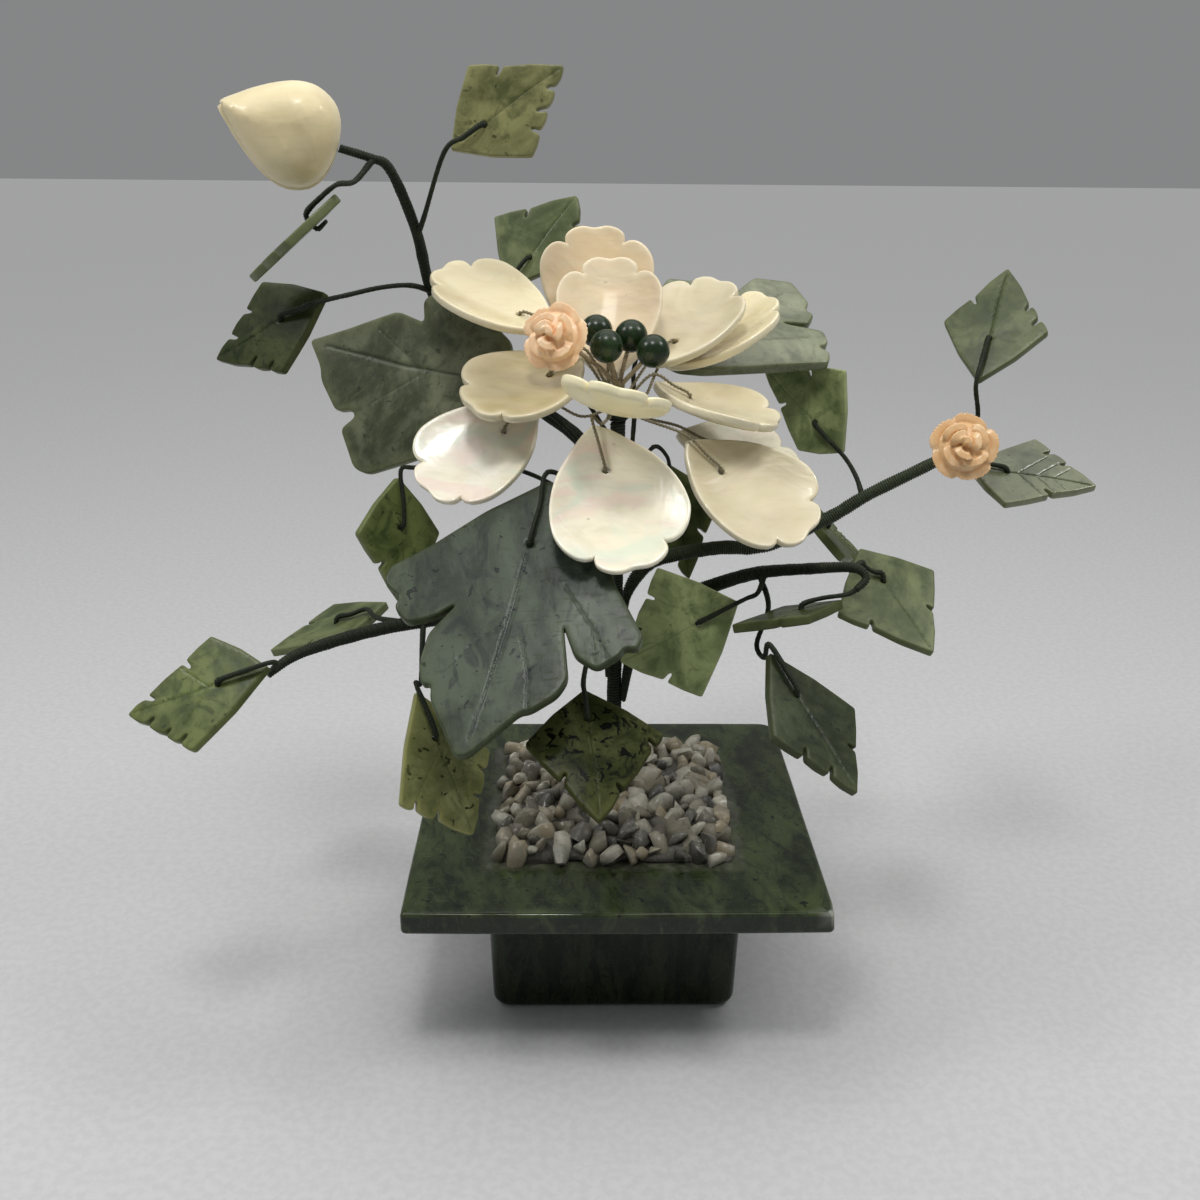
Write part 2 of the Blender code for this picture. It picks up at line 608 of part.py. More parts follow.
def make_branches(finish):
    """The trunk and the four thread-wrapped branches with the leaf wires that fork from them."""
    foot, top = TRUNK_FOOT, TRUNK_TOP
    stem("trunk", ((0, 0, foot), (0, 0, 45), (0, 0, 75), (0, 0, top)), finish, (TRUNK_RADIUS,),
         sides_level=2, steps=1)

    bud = stem(
        "branch_bud",
        ((-1.7, 2.5, 88), (-2.3, 3.4, 97), (-7, 9, 103.5), (-16, 17, 108.5), (-26, 21.5, 116),
         (-34.2, 22, 127.5), (-36, 13, 140), (-39, 5, 150.5), (-42, 3, 152.5), (-47, 3, 154)),
        finish, (1.2, 1.4, 1.1, 0.9, 0.7), sides_level=2)
    unite(bud, [
        twig("leaf_01_bud_stem", [(-36, 13, 139), (-31, 7, 147)]),
        twig("leaf_02_under_bud", [(-41.5, 3.2, 152.4), (-44, -2, 149)]),
        twig("leaf_03_left", [(-34.3, 21.5, 128.5), (-38, 18, 130), (-42.5, 12, 130.5), (-47, 5, 130)]),
    ])

    low_left = stem(
        "branch_low_left",
        ((-3, 0, 64), (-3.6, -0.4, 70), (-8, -2.5, 74), (-17.5, -6, 75), (-35, -12, 75), (-45, -17, 74.6),
         (-54.2, -24, 73.8), (-58.7, -28, 71.7)),
        finish, (1.2, 1.2, 1.2, 1.1, 0.8), sides_level=2)
    unite(low_left, [
        twig("leaf_08_low_back", [(-41.5, -14, 74.6), (-47, -6, 72.5)], side=(-6, 4.5)),
        twig("leaf_09_low_left", [(-57.6, -27, 72.2)]),
        twig("leaf_10_front_left", [(-34.5, -12, 75), (-34.3, -17, 71.5), (-34, -23, 68)]),
    ])

    rose = stem(
        "branch_rose",
        ((2.2, 2.3, 70), (2.6, 2.6, 76), (6, 3.5, 80.5), (11, 5, 82), (20, 8, 82.5), (29, 9.5, 82.5),
         (41, 11, 87.5), (48, 11, 92), (57, 10.5, 97), (62.5, 10.8, 99.8), (64, 7.2, 101.9)),
        finish, (1.3, 1.3, 1.3, 1.2, 1.0, 0.7), sides_level=2)
    unite(rose, [
        twig("leaf_16_behind_petals", [(33, 10, 84), (35.5, 14, 86)]),
        twig("leaf_18_behind_right", [(47.5, 11.1, 91.7), (47, 16, 94.5)]),
        twig("leaf_19_top_right", [(59.6, 10.7, 98.3), (66.5, 12.5, 101.5), (68, 11.5, 107)]),
        twig("leaf_20_far_right", [(61.4, 10.4, 99.4), (63.5, 10.8, 98.8)]),
    ])

    low_right = stem(
        "branch_low_right",
        ((3.3, -0.6, 56), (3.6, -0.4, 65), (7, 0.8, 71.5), (12, 1.5, 74.5), (18, 1.5, 77), (25.5, -4, 81.5),
         (34, -10.5, 84.6), (41, -14, 86), (43, -15.5, 84.6), (41.2, -16.8, 83)),
        finish, (1.6, 1.6, 1.6, 1.0, 0.9, 0.6), sides_level=2)
    unite(low_right, [
        twig("leaf_12_low_middle", [(27, -5.5, 82.2), (24.5, -9.5, 77.5)]),
        twig("leaf_13_right_flat", [(41.8, -16.4, 83.4)]),
        twig("leaf_14_right_hanging", [
            (26, -4.2, 81.6), (27.5, -8, 76.5), (24.5, -16, 72.5), (25, -22, 72.3)]),
        twig("leaf_15_right", [(39, -13.5, 85.8), (42.5, -9.5, 86.8)]),
    ])


def make_single_wires(finish):
    """Leaf wires that run straight up the trunk, each a piece of its own."""
    routes = {
        "leaf_04_back_top": ((0.3, 2.4, 92), (0.3, 2.8, 101), (-4, 10, 108), (-14, 20, 120)),
        "leaf_05_left_large": ((-2.3, 0.7, 88), (-2.8, 0.8, 98), (-8, 5, 105), (-14, 6.5, 110)),
        "leaf_06_left_hanging": (
            (-2.2, -0.9, 78), (-2.7, -1.1, 86), (-8, 1, 94), (-17.5, 4, 98.5), (-27, 3, 99.5),
            (-36, -1, 100.3)),
        "leaf_07_front_large": ((-0.5, -2.3, 78), (-0.7, -2.9, 86), (-3, -7, 95)),
        "leaf_11_front": ((-1.4, -1.9, 60), (-1.8, -2.6, 66), (-3.5, -10, 71), (-5, -21, 73)),
        "leaf_17_behind_flower": ((1.7, 1.9, 86), (2.2, 2.8, 92), (7, 17, 99.5)),
        "leaf_21_right_large": ((2.1, 1.2, 94), (2.6, 2.1, 102), (3.5, 11, 109), (3.5, 18, 114.5)),
    }
    for leaf_name, route in routes.items():
        stem("wire_" + leaf_name[:7], [*route, *leaf_wire_end(LEAVES[leaf_name])], finish)


def make_flower_wires(finish):
    """Collar on top of the trunk with the twelve petal wires that spread from it."""
    centre = Vector((0, 0, COLLAR_HEIGHT))
    collar = add_object("flower_wires", ball("flower_wires", COLLAR_RADIUS, 10, centre), finish)
    wires = []
    for name, petal in PETALS.items():
        end = petal_wire_end(petal)
        via = [Vector(point) for point in petal.get("via", ())]
        away = ((via or end)[0] - centre).normalized()
        inside, outside = COLLAR_RADIUS * 0.4, COLLAR_RADIUS * 1.3
        route = [centre + away * inside, centre + away * outside, *via, *end]
        wires.append(stem(name.replace("petal", "petal_wire"), route, radii=(PETAL_WIRE_RADIUS,), steps=1))
    unite(collar, wires)


def make_stamens(wire_finish, bead_finish):
    """Knot over the collar with the stems of the four beads and of the pink rose, and the beads."""
    knot = Vector((0, 0, KNOT_HEIGHT))
    stamens = add_object("stamen_wires", ball("stamen_wires", KNOT_RADIUS, 8, knot), wire_finish)
    routes = {"pink_rose_stem": [knot, (-3, -0.6, 118), (-7, -1, 121), (-9.7, -3, 123)]}
    for name, centre in BEADS.items():
        down = (knot - Vector(centre)).normalized()
        routes[name + "_stem"] = [knot - down * GAP, Vector(centre) + down * (BEAD_RADIUS + GAP)]
        bead = add_object(name, ball(name, BEAD_RADIUS, 12), bead_finish)
        bead.location = Vector(centre) * MM
    unite(stamens, [stem(name, route, radii=(STAMEN_WIRE_RADIUS,)) for name, route in routes.items()])


def make_rose(name, at, aim, radius, finish):
    """Carved rose: a low dome with five lobes round it, its back at its origin, facing +X."""
    rings = []
    for share, height, lobes in ROSE_PROFILE:
        ring = []
        for i in range(ROSE_SIDES):
            angle = i * 2 * pi / ROSE_SIDES
            reach = radius * (share + lobes * cos(5 * angle))
            ring.append(Vector((height * ROSE_HEIGHT, reach * cos(angle), reach * sin(angle))))
        rings.append(ring)
    rose = add_object(name, mesh_from(name, loft(rings, closed=False)), finish)
    place(rose, at, aim)


def make_bud(finish):
    """Closed bud: a plump pointed oval, its foot at its origin, pointing along +X."""
    rings = []
    for share, radius in BUD_PROFILE:
        ring = []
        for i in range(BUD_SIDES):
            angle = i * 2 * pi / BUD_SIDES
            ring.append(Vector((share * BUD_LENGTH, radius * cos(angle), BUD_FLATNESS * radius * sin(angle))))
        rings.append(ring)
    bud = add_object("bud", mesh_from("bud", loft(rings, closed=False)), finish)
    place(bud, (-47.6, 3, 153.4), (180, 20, 0))


def main():
    """Build every sub-part in its own material."""
    clear_scene()
    jade = material("pot_jade", (0.05, 0.075, 0.045), 0.25)
    leaf_jade = material("leaf_jade", (0.16, 0.21, 0.11), 0.4)
    shell = material("petal_shell", (0.80, 0.74, 0.58), 0.3)
    thread = material("green_thread", (0.02, 0.03, 0.015), 0.8)
    petal_wire = material("brown_thread", (0.24, 0.20, 0.13), 0.7)
    bead_jade = material("bead_jade", (0.01, 0.04, 0.02), 0.12)
    pink_coral = material("pink_coral", (0.85, 0.52, 0.36), 0.45)
    pale_coral = material("pale_coral", (0.80, 0.66, 0.48), 0.45)
    plaster = material("plaster", (0.55, 0.52, 0.45), 0.9)
    pebbles = material("pebbles", (0.35, 0.33, 0.29), 0.5)

    make_pot(jade)
    make_fill(plaster)
    make_gravel(pebbles)
    make_branches(thread)
    make_single_wires(thread)
    make_leaves(leaf_jade)
    for name, petal in PETALS.items():
        make_petal(name, petal, shell)
    make_flower_wires(petal_wire)
    make_stamens(petal_wire, bead_jade)
    make_rose("rose_pink", (-10.2, -3.4, 123.3), (250, 20, 0), ROSE_RADIUS, pink_coral)
    make_rose("rose_pale", (64, 6.4, 102.1), (262, 25, 0), PALE_ROSE_RADIUS, pale_coral)
    make_bud(shell)


main()
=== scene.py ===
"""Finished looks of the jade bonsai.

Carved nephrite leaves, a flower of pearl shell, a shell bud, beads and two carved roses stand on thread-wrapped
wire in a square jade pot under glued pebbles. Lengths are in millimetres and angles in degrees unless a name
says otherwise; MM turns lengths into the metres of the meshes. -Y is the side that the flower faces.
"""

from __future__ import annotations

import json
import logging
from dataclasses import dataclass, replace
from enum import Enum
from functools import cache
from math import cos, pi, radians, sin, sqrt
from random import Random
from typing import Any, Callable, Iterable, Sequence

import bmesh
import bpy
import numpy as np
from bmesh.types import BMesh, BMVert
from bpy.types import ColorRamp, Material, Mesh, NodeSocket, NodeTree, Object
from mathutils import Euler, Matrix, Quaternion, Vector, geometry, noise

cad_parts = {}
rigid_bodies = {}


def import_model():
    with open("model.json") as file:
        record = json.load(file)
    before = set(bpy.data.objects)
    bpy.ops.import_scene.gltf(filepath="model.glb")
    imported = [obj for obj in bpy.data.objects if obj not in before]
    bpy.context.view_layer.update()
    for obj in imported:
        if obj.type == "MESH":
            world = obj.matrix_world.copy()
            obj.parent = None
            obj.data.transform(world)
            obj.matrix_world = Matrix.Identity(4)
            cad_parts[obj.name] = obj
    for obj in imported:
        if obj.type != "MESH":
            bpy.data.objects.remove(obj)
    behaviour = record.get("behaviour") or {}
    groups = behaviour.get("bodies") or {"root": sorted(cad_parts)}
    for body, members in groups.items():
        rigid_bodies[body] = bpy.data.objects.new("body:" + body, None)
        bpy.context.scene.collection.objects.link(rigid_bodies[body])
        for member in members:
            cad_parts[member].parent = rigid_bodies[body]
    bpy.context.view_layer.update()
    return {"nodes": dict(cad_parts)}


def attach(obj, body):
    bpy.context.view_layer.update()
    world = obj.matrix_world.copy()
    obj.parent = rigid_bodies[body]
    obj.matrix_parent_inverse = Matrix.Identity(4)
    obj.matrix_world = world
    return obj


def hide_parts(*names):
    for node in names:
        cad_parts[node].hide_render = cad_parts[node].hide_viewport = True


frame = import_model()

log = logging.getLogger("bonsai")

MM = 0.001
ROOT = "root"
Point = tuple[float, float]
Point3 = tuple[float, float, float]


# -------- node trees


class Term:
    """One socket of a node tree, usable in Python arithmetic."""

    def __init__(self, graph: Graph, socket: NodeSocket) -> None:
        """Keep the tree and the socket."""
        self.graph, self.socket = graph, socket

    def maths(self, operation: str, left: Term | float, right: Term | float = 0.0) -> Term:
        """Add one Math node."""
        return self.graph.node("ShaderNodeMath", {"operation": operation}, {0: left, 1: right})

    def __add__(self, other: Term | float) -> Term:
        """Sum."""
        return self.maths("ADD", self, other)

    def __sub__(self, other: Term | float) -> Term:
        """Difference."""
        return self.maths("SUBTRACT", self, other)

    def __rsub__(self, other: Term | float) -> Term:
        """Reflected difference, for 1 - mask."""
        return self.maths("SUBTRACT", other, self)

    def __mul__(self, other: Term | float) -> Term:
        """Product."""
        return self.maths("MULTIPLY", self, other)

    def __truediv__(self, other: Term | float) -> Term:
        """Quotient."""
        return self.maths("DIVIDE", self, other)

    __radd__, __rmul__ = __add__, __mul__


class Graph:
    """Node tree that is written in Python."""

    def __init__(self, tree: NodeTree) -> None:
        """Keep the tree."""
        self.tree = tree

    def feed(self, socket: NodeSocket, value: Any) -> None:
        """Link a term to an input or set its value.

        Args:
            socket: Input of a node.
            value: Term, number, vector, name or colour triple, which gets a full alpha.
        """
        if isinstance(value, Term):
            self.tree.links.new(value.socket, socket)
        else:
            socket.default_value = (*value, 1.0) if socket.type == "RGBA" else value

    def node(self, kind: str, settings: dict[str, Any], inputs: dict[Any, Any], output: Any = 0) -> Term:
        """Add any node.

        Args:
            kind: Node type.
            settings: Properties set before the sockets; a ramp's "stops" are (place, colour) pairs.
            inputs: Values or terms by socket name or number.
            output: Name or number of the socket returned.

        Returns:
            The chosen output socket.
        """
        made = self.tree.nodes.new(kind)
        for name, value in settings.items():
            if name == "stops":
                set_stops(made.color_ramp, value)
            else:
                setattr(made, name, value)
        for name, value in inputs.items():
            self.feed(made.inputs[name], value)
        return Term(self, made.outputs[output])


def set_stops(ramp: ColorRamp, stops: Sequence[tuple[float, Point3]]) -> None:
    """Give a ramp its stops.

    Args:
        ramp: Colour ramp of a node.
        stops: Place and colour of each stop.
    """
    while len(ramp.elements) < len(stops):
        ramp.elements.new(1.0)
    for element, (place, color) in zip(ramp.elements, stops):
        element.position, element.color = place, (*color, 1.0)


class Shader(Graph):
    """Node tree of one Principled material."""

    def __init__(self, name: str) -> None:
        """Make the material and find its shader.

        Args:
            name: Name of the material.
        """
        self.material = bpy.data.materials.new(name)
        self.material.use_nodes = True
        super().__init__(self.material.node_tree)
        self.place = self.node("ShaderNodeTexCoord", {}, {}, "Object")

    def stretched(self, scale: Point3, shift: Point3 = (0, 0, 0), turn: Point3 = (0, 0, 0),
                  order: str = "POINT") -> Term:
        """Object coordinates for a grain with a direction; "TEXTURE" turns it, and there scale is its length."""
        inputs = {"Vector": self.place, "Location": shift, "Rotation": turn, "Scale": scale}
        return self.node("ShaderNodeMapping", {"vector_type": order}, inputs)

    def noise(self, per_mm: float, detail: float, distortion: float = 0, vector: Term | None = None,
              rough: float = 0.55) -> Term:
        """Noise whose features are about 1 / per_mm millimetres wide."""
        inputs = {"Vector": vector or self.place, "Scale": per_mm / MM, "Detail": detail,
                  "Distortion": distortion, "Roughness": rough}
        return self.node("ShaderNodeTexNoise", {}, inputs, "Fac")

    def band(self, value: Term, low: float, high: float) -> Term:
        """Smooth step from 0 at low to 1 at high."""
        inputs = {"Value": value, "From Min": low, "From Max": high}
        return self.node("ShaderNodeMapRange", {"interpolation_type": "SMOOTHSTEP"}, inputs)

    def mix(self, low: Any, high: Any, factor: Term) -> Term:
        """Blend two colours."""
        return self.node("ShaderNodeMix", {"data_type": "RGBA"}, {0: factor, 6: low, 7: high}, 2)

    def layers(self, color: Any, *coats: tuple[Term, float, float, Point3, float]) -> Term:
        """Lay tints over a colour, each where a value passes from one level to another.

        Args:
            color: Colour underneath.
            *coats: Value, level where the tint starts, level where it is full, tint and strength.

        Returns:
            The colour on top.
        """
        for value, low, high, tint, strength in coats:
            color = self.mix(color, tint, self.band(value, low, high) * strength)
        return color

    def marked(self, color: Any, **marks: tuple[Point3, float]) -> Term:
        """Lay tints over a colour where the mesh says so.

        Args:
            color: Colour underneath.
            **marks: Tint and strength by the name of the value that the mesh stores at its points.

        Returns:
            The colour on top.
        """
        for name, (tint, strength) in marks.items():
            color = self.mix(color, tint, self.attribute(name) * strength)
        return color

    def attribute(self, name: str) -> Term:
        """Value that a mesh stores at its points."""
        return self.node("ShaderNodeAttribute", {"attribute_name": name}, {}, "Fac")

    def bump(self, height: Term, distance_mm: float, strength: float, under: Term | None = None) -> Term:
        """Bump whose full height is the given distance, over another bump if there is one."""
        inputs = {"Height": height, "Distance": distance_mm * MM, "Strength": strength}
        return self.node("ShaderNodeBump", {}, inputs | ({"Normal": under} if under else {}))

    def finish(self, **inputs: Any) -> Material:
        """Feed the shader and return the material.

        Args:
            **inputs: Values or terms by socket name, with underscores for spaces.

        Returns:
            The finished material.
        """
        for name, value in inputs.items():
            self.feed(self.tree.nodes["Principled BSDF"].inputs[name.replace("_", " ")], value)
        return self.material


# -------- finishes


@dataclass(frozen=True)
class JadeFinish:
    """Nephrite: clouds of two greens, dark streaks and specks, with painted light on its thin edges and painted shade
    in its grooves and on the slab's sides.

    Grain says how much finer the pattern is along each axis. Dust_from is the distance from the pot's middle up
    to which glue and dust lie on it, and shade makes all its colours lighter or darker.
    """

    name: str
    base: Point3
    cloud: Point3
    dark: Point3
    # Colour of the painted light on thin edges; it also tints the scratches and the pot's pale wisps.
    edge: Point3
    streaks: float
    specks: float
    roughness: float = 0.36
    scratches: float = 0.5
    grain: Point3 = (1.0, 1.0, 1.0)
    clouds_per_mm: float = 0.08
    coat: float = 0.03
    gloss: float = 0.17
    dust_from: float = 0.0
    shade: float = 1.0
    seed: float = 0.0

    def _tint(self, color: Point3, factor: float = 1.0) -> Point3:
        """Colour made lighter or darker by the piece's own shade."""
        return tuple(min(1.0, channel * self.shade * factor) for channel in color)

    def build(self) -> Material:
        """Make the material.

        Returns:
            The material.
        """
        g = Shader(self.name)
        shift = (self.seed * 0.037, self.seed * 0.011, self.seed * 0.023)
        turn = (0.2, 0.1, 0.75)
        clouds = g.noise(self.clouds_per_mm, 6, 0.6, g.stretched(self.grain, shift, turn), 0.6)
        veins = g.noise(self.clouds_per_mm * 1.7, 8, 1.9, g.stretched(self.grain, shift[::-1], turn), 0.62)
        mottle = g.noise(0.55, 6, 0.3, None, 0.62)
        dots = g.noise(0.62, 2, 0.5, g.stretched((1, 1, 1), shift))
        dots_from = 0.70 - 0.075 * self.specks
        color = g.mix(self._tint(self.base, 0.74), self._tint(self.cloud, 1.26), g.band(clouds, 0.38, 0.62))
        color = g.layers(
            color,
            (veins, 0.50, 0.66, self._tint(self.dark), self.streaks),
            (mottle, 0.50, 0.72, self._tint(self.cloud, 1.25), 0.28),
            (mottle, 0.46, 0.30, self._tint(self.dark, 0.9), 0.35),
            (dots, dots_from, dots_from + 0.04, self._tint(self.dark, 0.5), min(1.0, self.specks * 1.5)))
        # Painted light makes the thin edges paler; painted shade darkens the grooves and the slab's sides.
        color = g.marked(color, rim=(self._tint(self.edge), 0.5), cut=(self._tint(self.dark), 0.75))
        hairs = g.noise(0.25, 3, 0.15, g.stretched((1.0, 9.0, 1.0), shift, (0.3, 0.5, 0.9)))
        crossing = g.noise(0.22, 3, 0.15, g.stretched((9.0, 1.0, 2.0), shift, (0.7, 0.2, 0.4)))
        marks = (g.band(hairs, 0.6, 0.66) + g.band(crossing, 0.62, 0.68)) * self.scratches
        color = g.mix(color, self._tint(self.edge, 1.1), marks * 0.14)
        rough = self.roughness + marks * 0.12 + (mottle - 0.5) * 0.3
        if self.dust_from:
            wisps = g.noise(0.17, 6, 0.7, g.stretched((2.8, 0.55, 1.0), shift, (0, 0, radians(-58)), "TEXTURE"), 0.6)
            color = g.layers(color, (wisps, 0.52, 0.72, self._tint(self.edge, 1.5), 0.45),
                             (wisps, 0.44, 0.30, self._tint(self.dark), 0.6))
            dust = self._dust(g, clouds)
            color = g.mix(color, (0.16, 0.155, 0.13), dust * (0.1 + g.band(mottle, 0.4, 0.7) * 0.45))
            color = g.marked(color, nick=((0.42, 0.44, 0.38), 0.8))
            rough = rough + dust * 0.3
        return g.finish(Base_Color=color, Roughness=rough, Normal=g.bump(marks, 0.012, 0.5, g.bump(mottle, 0.04, 0.4)),
                        Coat_Weight=self.coat, Coat_Roughness=0.10, IOR=1.5, Specular_IOR_Level=self.gloss)

    def _dust(self, g: Shader, clouds: Term) -> Term:
        """Dust round the pebble bed, which ends in an uneven line.

        Args:
            g: Tree of the material.
            clouds: Noise that makes the line uneven.

        Returns:
            1 on the dust and 0 off it.
        """
        away = []
        for axis in ("X", "Y"):
            place = g.node("ShaderNodeSeparateXYZ", {}, {"Vector": g.place}, axis)
            away.append(place.maths("ABSOLUTE", place))
        reach = clouds.maths("MAXIMUM", *away)
        return g.band(reach + (clouds - 0.5) * 6 * MM, (self.dust_from + 2.4) * MM, self.dust_from * MM)


@dataclass(frozen=True)
class ShellFinish:
    """Pearl shell: cream with growth lines and, where it was cut through the nacre, soft pink and green painted in as
    its iridescent sheen, with a painted highlight on its rounded edges and painted shade in any engraved lines.
    """

    name: str
    base: Point3
    deep: Point3
    pearl: float
    roughness: float
    turn: float
    coat: float = 0.4

    def build(self) -> Material:
        """Make the material.

        Returns:
            The material.
        """
        g = Shader(self.name)
        along = g.stretched((1.0, 1.0, 3.2), (self.turn * MM * 9, 0, 0), (0.25, self.turn, 0.1))
        layers = g.noise(0.11, 5, 0.9, along)
        lines = g.noise(0.5, 3, 0.5, g.stretched((0.5, 0.5, 5.0), (0, 0, 0), (0.3, self.turn, 0)))
        clouds = g.noise(0.06, 3, 1.2)
        specks = g.noise(0.7, 2, 0.3)
        pink = g.noise(0.075, 1, 1.0, along)
        mint = g.noise(0.085, 1, 1.0, g.stretched((1, 1, 2), (0.013, 0.021, 0)))
        pale = tuple(min(0.93, channel * 1.22) for channel in self.base)
        color = g.layers(
            self.base,
            (layers, 0.42, 0.72, self.deep, 0.55),
            (clouds, 0.46, 0.66, pale, 0.45),
            (lines, 0.52, 0.70, self.deep, 0.18))
        # Painted sheen: the nacre's pink and green iridescence laid into the colour.
        for sheen, low, high, tint, strength in ((pink, 0.47, 0.66, (0.90, 0.68, 0.62), 0.55),
                                                 (mint, 0.50, 0.68, (0.60, 0.80, 0.66), 0.45)):
            color = g.mix(color, tint, g.band(sheen, low, high) * self.pearl * strength)
        # Painted highlight on the rounded edges and painted shade in any engraved lines.
        color = g.marked(color, rim=((0.93, 0.87, 0.66), 0.5), cut=((0.42, 0.30, 0.18), 0.55))
        color = g.layers(color, (specks, 0.72, 0.77, (0.40, 0.30, 0.18), 0.5))
        rough = self.roughness + (clouds - 0.5) * 0.3 + g.band(specks, 0.7, 0.8) * 0.2
        return g.finish(Base_Color=color, Roughness=rough, Normal=g.bump(clouds, 0.9, 0.5, g.bump(lines, 0.04, 0.3)),
                        Coat_Weight=self.coat, Coat_Roughness=0.07, IOR=1.56)


@dataclass(frozen=True)
class ThreadFinish:
    """Silk thread wound on wire: fine fibres, faded in streaks, with glue and dust in places."""

    name: str
    base: Point3
    worn: Point3

    def build(self) -> Material:
        """Make the material.

        Returns:
            The material.
        """
        g = Shader(self.name)
        fibres = g.noise(3.0, 3, 0.4, g.stretched((1, 1, 2.5)))
        color = g.layers(self.base, (fibres, 0.45, 0.75, self.worn, 0.6),
                         (g.noise(0.2, 3, 0.6), 0.56, 0.75, self.worn, 0.5))
        return g.finish(Base_Color=color, Roughness=0.62 + (fibres - 0.5) * 0.3, Normal=g.bump(fibres, 0.06, 0.6),
                        Sheen_Weight=0.08, Sheen_Roughness=0.4, Specular_IOR_Level=0.25)


@dataclass(frozen=True)
class CarvedStoneFinish:
    """Soft peach or cream stone with white veins and tool marks, with painted shade in its creases."""

    name: str
    base: Point3
    pale: Point3
    # Colour of the painted shade in the creases.
    crease: Point3

    def build(self) -> Material:
        """Make the material.

        Returns:
            The material.
        """
        g = Shader(self.name)
        fine = g.noise(1.6, 4, 0.3)
        color = g.layers(self.base, (g.noise(0.28, 4, 0.9), 0.42, 0.68, self.pale, 0.8))
        # Painted shade in the creases that the mesh marks.
        color = g.marked(color, cut=(self.crease, 0.9))
        color = g.layers(color, (fine, 0.55, 0.75, self.pale, 0.25))
        return g.finish(Base_Color=color, Roughness=0.38 + (fine - 0.5) * 0.35, Normal=g.bump(fine, 0.05, 0.5),
                        Coat_Weight=0.3, Coat_Roughness=0.16)


@dataclass(frozen=True)
class BeadFinish:
    """Polished dark green bead with faint clouds."""

    name: str
    base: Point3
    cloud: Point3
    pale: Point3

    def build(self) -> Material:
        """Make the material.

        Returns:
            The material.
        """
        g = Shader(self.name)
        fine = g.noise(1.4, 4, 0.4)
        color = g.mix(self.base, self.cloud, g.band(g.noise(0.35, 5, 0.8), 0.4, 0.7))
        color = g.layers(color, (fine, 0.56, 0.75, self.pale, 0.5))
        return g.finish(Base_Color=color, Roughness=0.27 + g.band(fine, 0.5, 0.8) * 0.14,
                        Normal=g.bump(fine, 0.01, 0.3), Coat_Weight=0.1, Coat_Roughness=0.05,
                        Specular_IOR_Level=0.3)


@dataclass(frozen=True)
class PebbleFinish:
    """Crushed quartz and slate, each pebble with its own tone, glossy under clear glue."""

    name: str
    tones: tuple[tuple[float, Point3], ...]

    def build(self) -> Material:
        """Make the material.

        Returns:
            The material.
        """
        g = Shader(self.name)
        clouds = g.noise(0.4, 5, 0.8)
        tone = g.attribute("tone") + (clouds - 0.5) * 0.5
        color = g.layers(
            g.node("ShaderNodeValToRGB", {"stops": self.tones}, {"Fac": tone}, "Color"),
            (g.noise(0.8, 4, 2.0), 0.58, 0.68, (0.62, 0.60, 0.56), 0.35),
            (g.noise(0.25, 3, 0.6), 0.52, 0.7, (0.14, 0.11, 0.08), 0.4),
            (clouds, 0.62, 0.40, (0.34, 0.31, 0.24), 0.22))
        return g.finish(Base_Color=color, Roughness=0.30 + g.band(clouds, 0.4, 0.7) * 0.35,
                        Normal=g.bump(g.noise(2.0, 4, 0.2), 0.06, 0.6), Coat_Weight=0.25, Coat_Roughness=0.15)


@dataclass(frozen=True)
class GlueFinish:
    """Dusty clear glue and grit between the pebbles."""

    name: str
    color: Point3

    def build(self) -> Material:
        """Make the material.

        Returns:
            The material.
        """
        g = Shader(self.name)
        grit = g.noise(1.5, 5, 0.3)
        color = g.layers(self.color, (grit, 0.45, 0.75, (0.22, 0.21, 0.18), 0.5),
                         (g.noise(0.2, 4, 0.5), 0.5, 0.75, (0.30, 0.29, 0.26), 0.25))
        return g.finish(Base_Color=color, Roughness=0.45 + grit * 0.4, Normal=g.bump(grit, 0.25, 0.8))


@cache
def dressed_in(finish: Any) -> Material:
    """Material of a finish, or of an Enum member that holds one, made once."""
    return (finish.value if isinstance(finish, Enum) else finish).build()


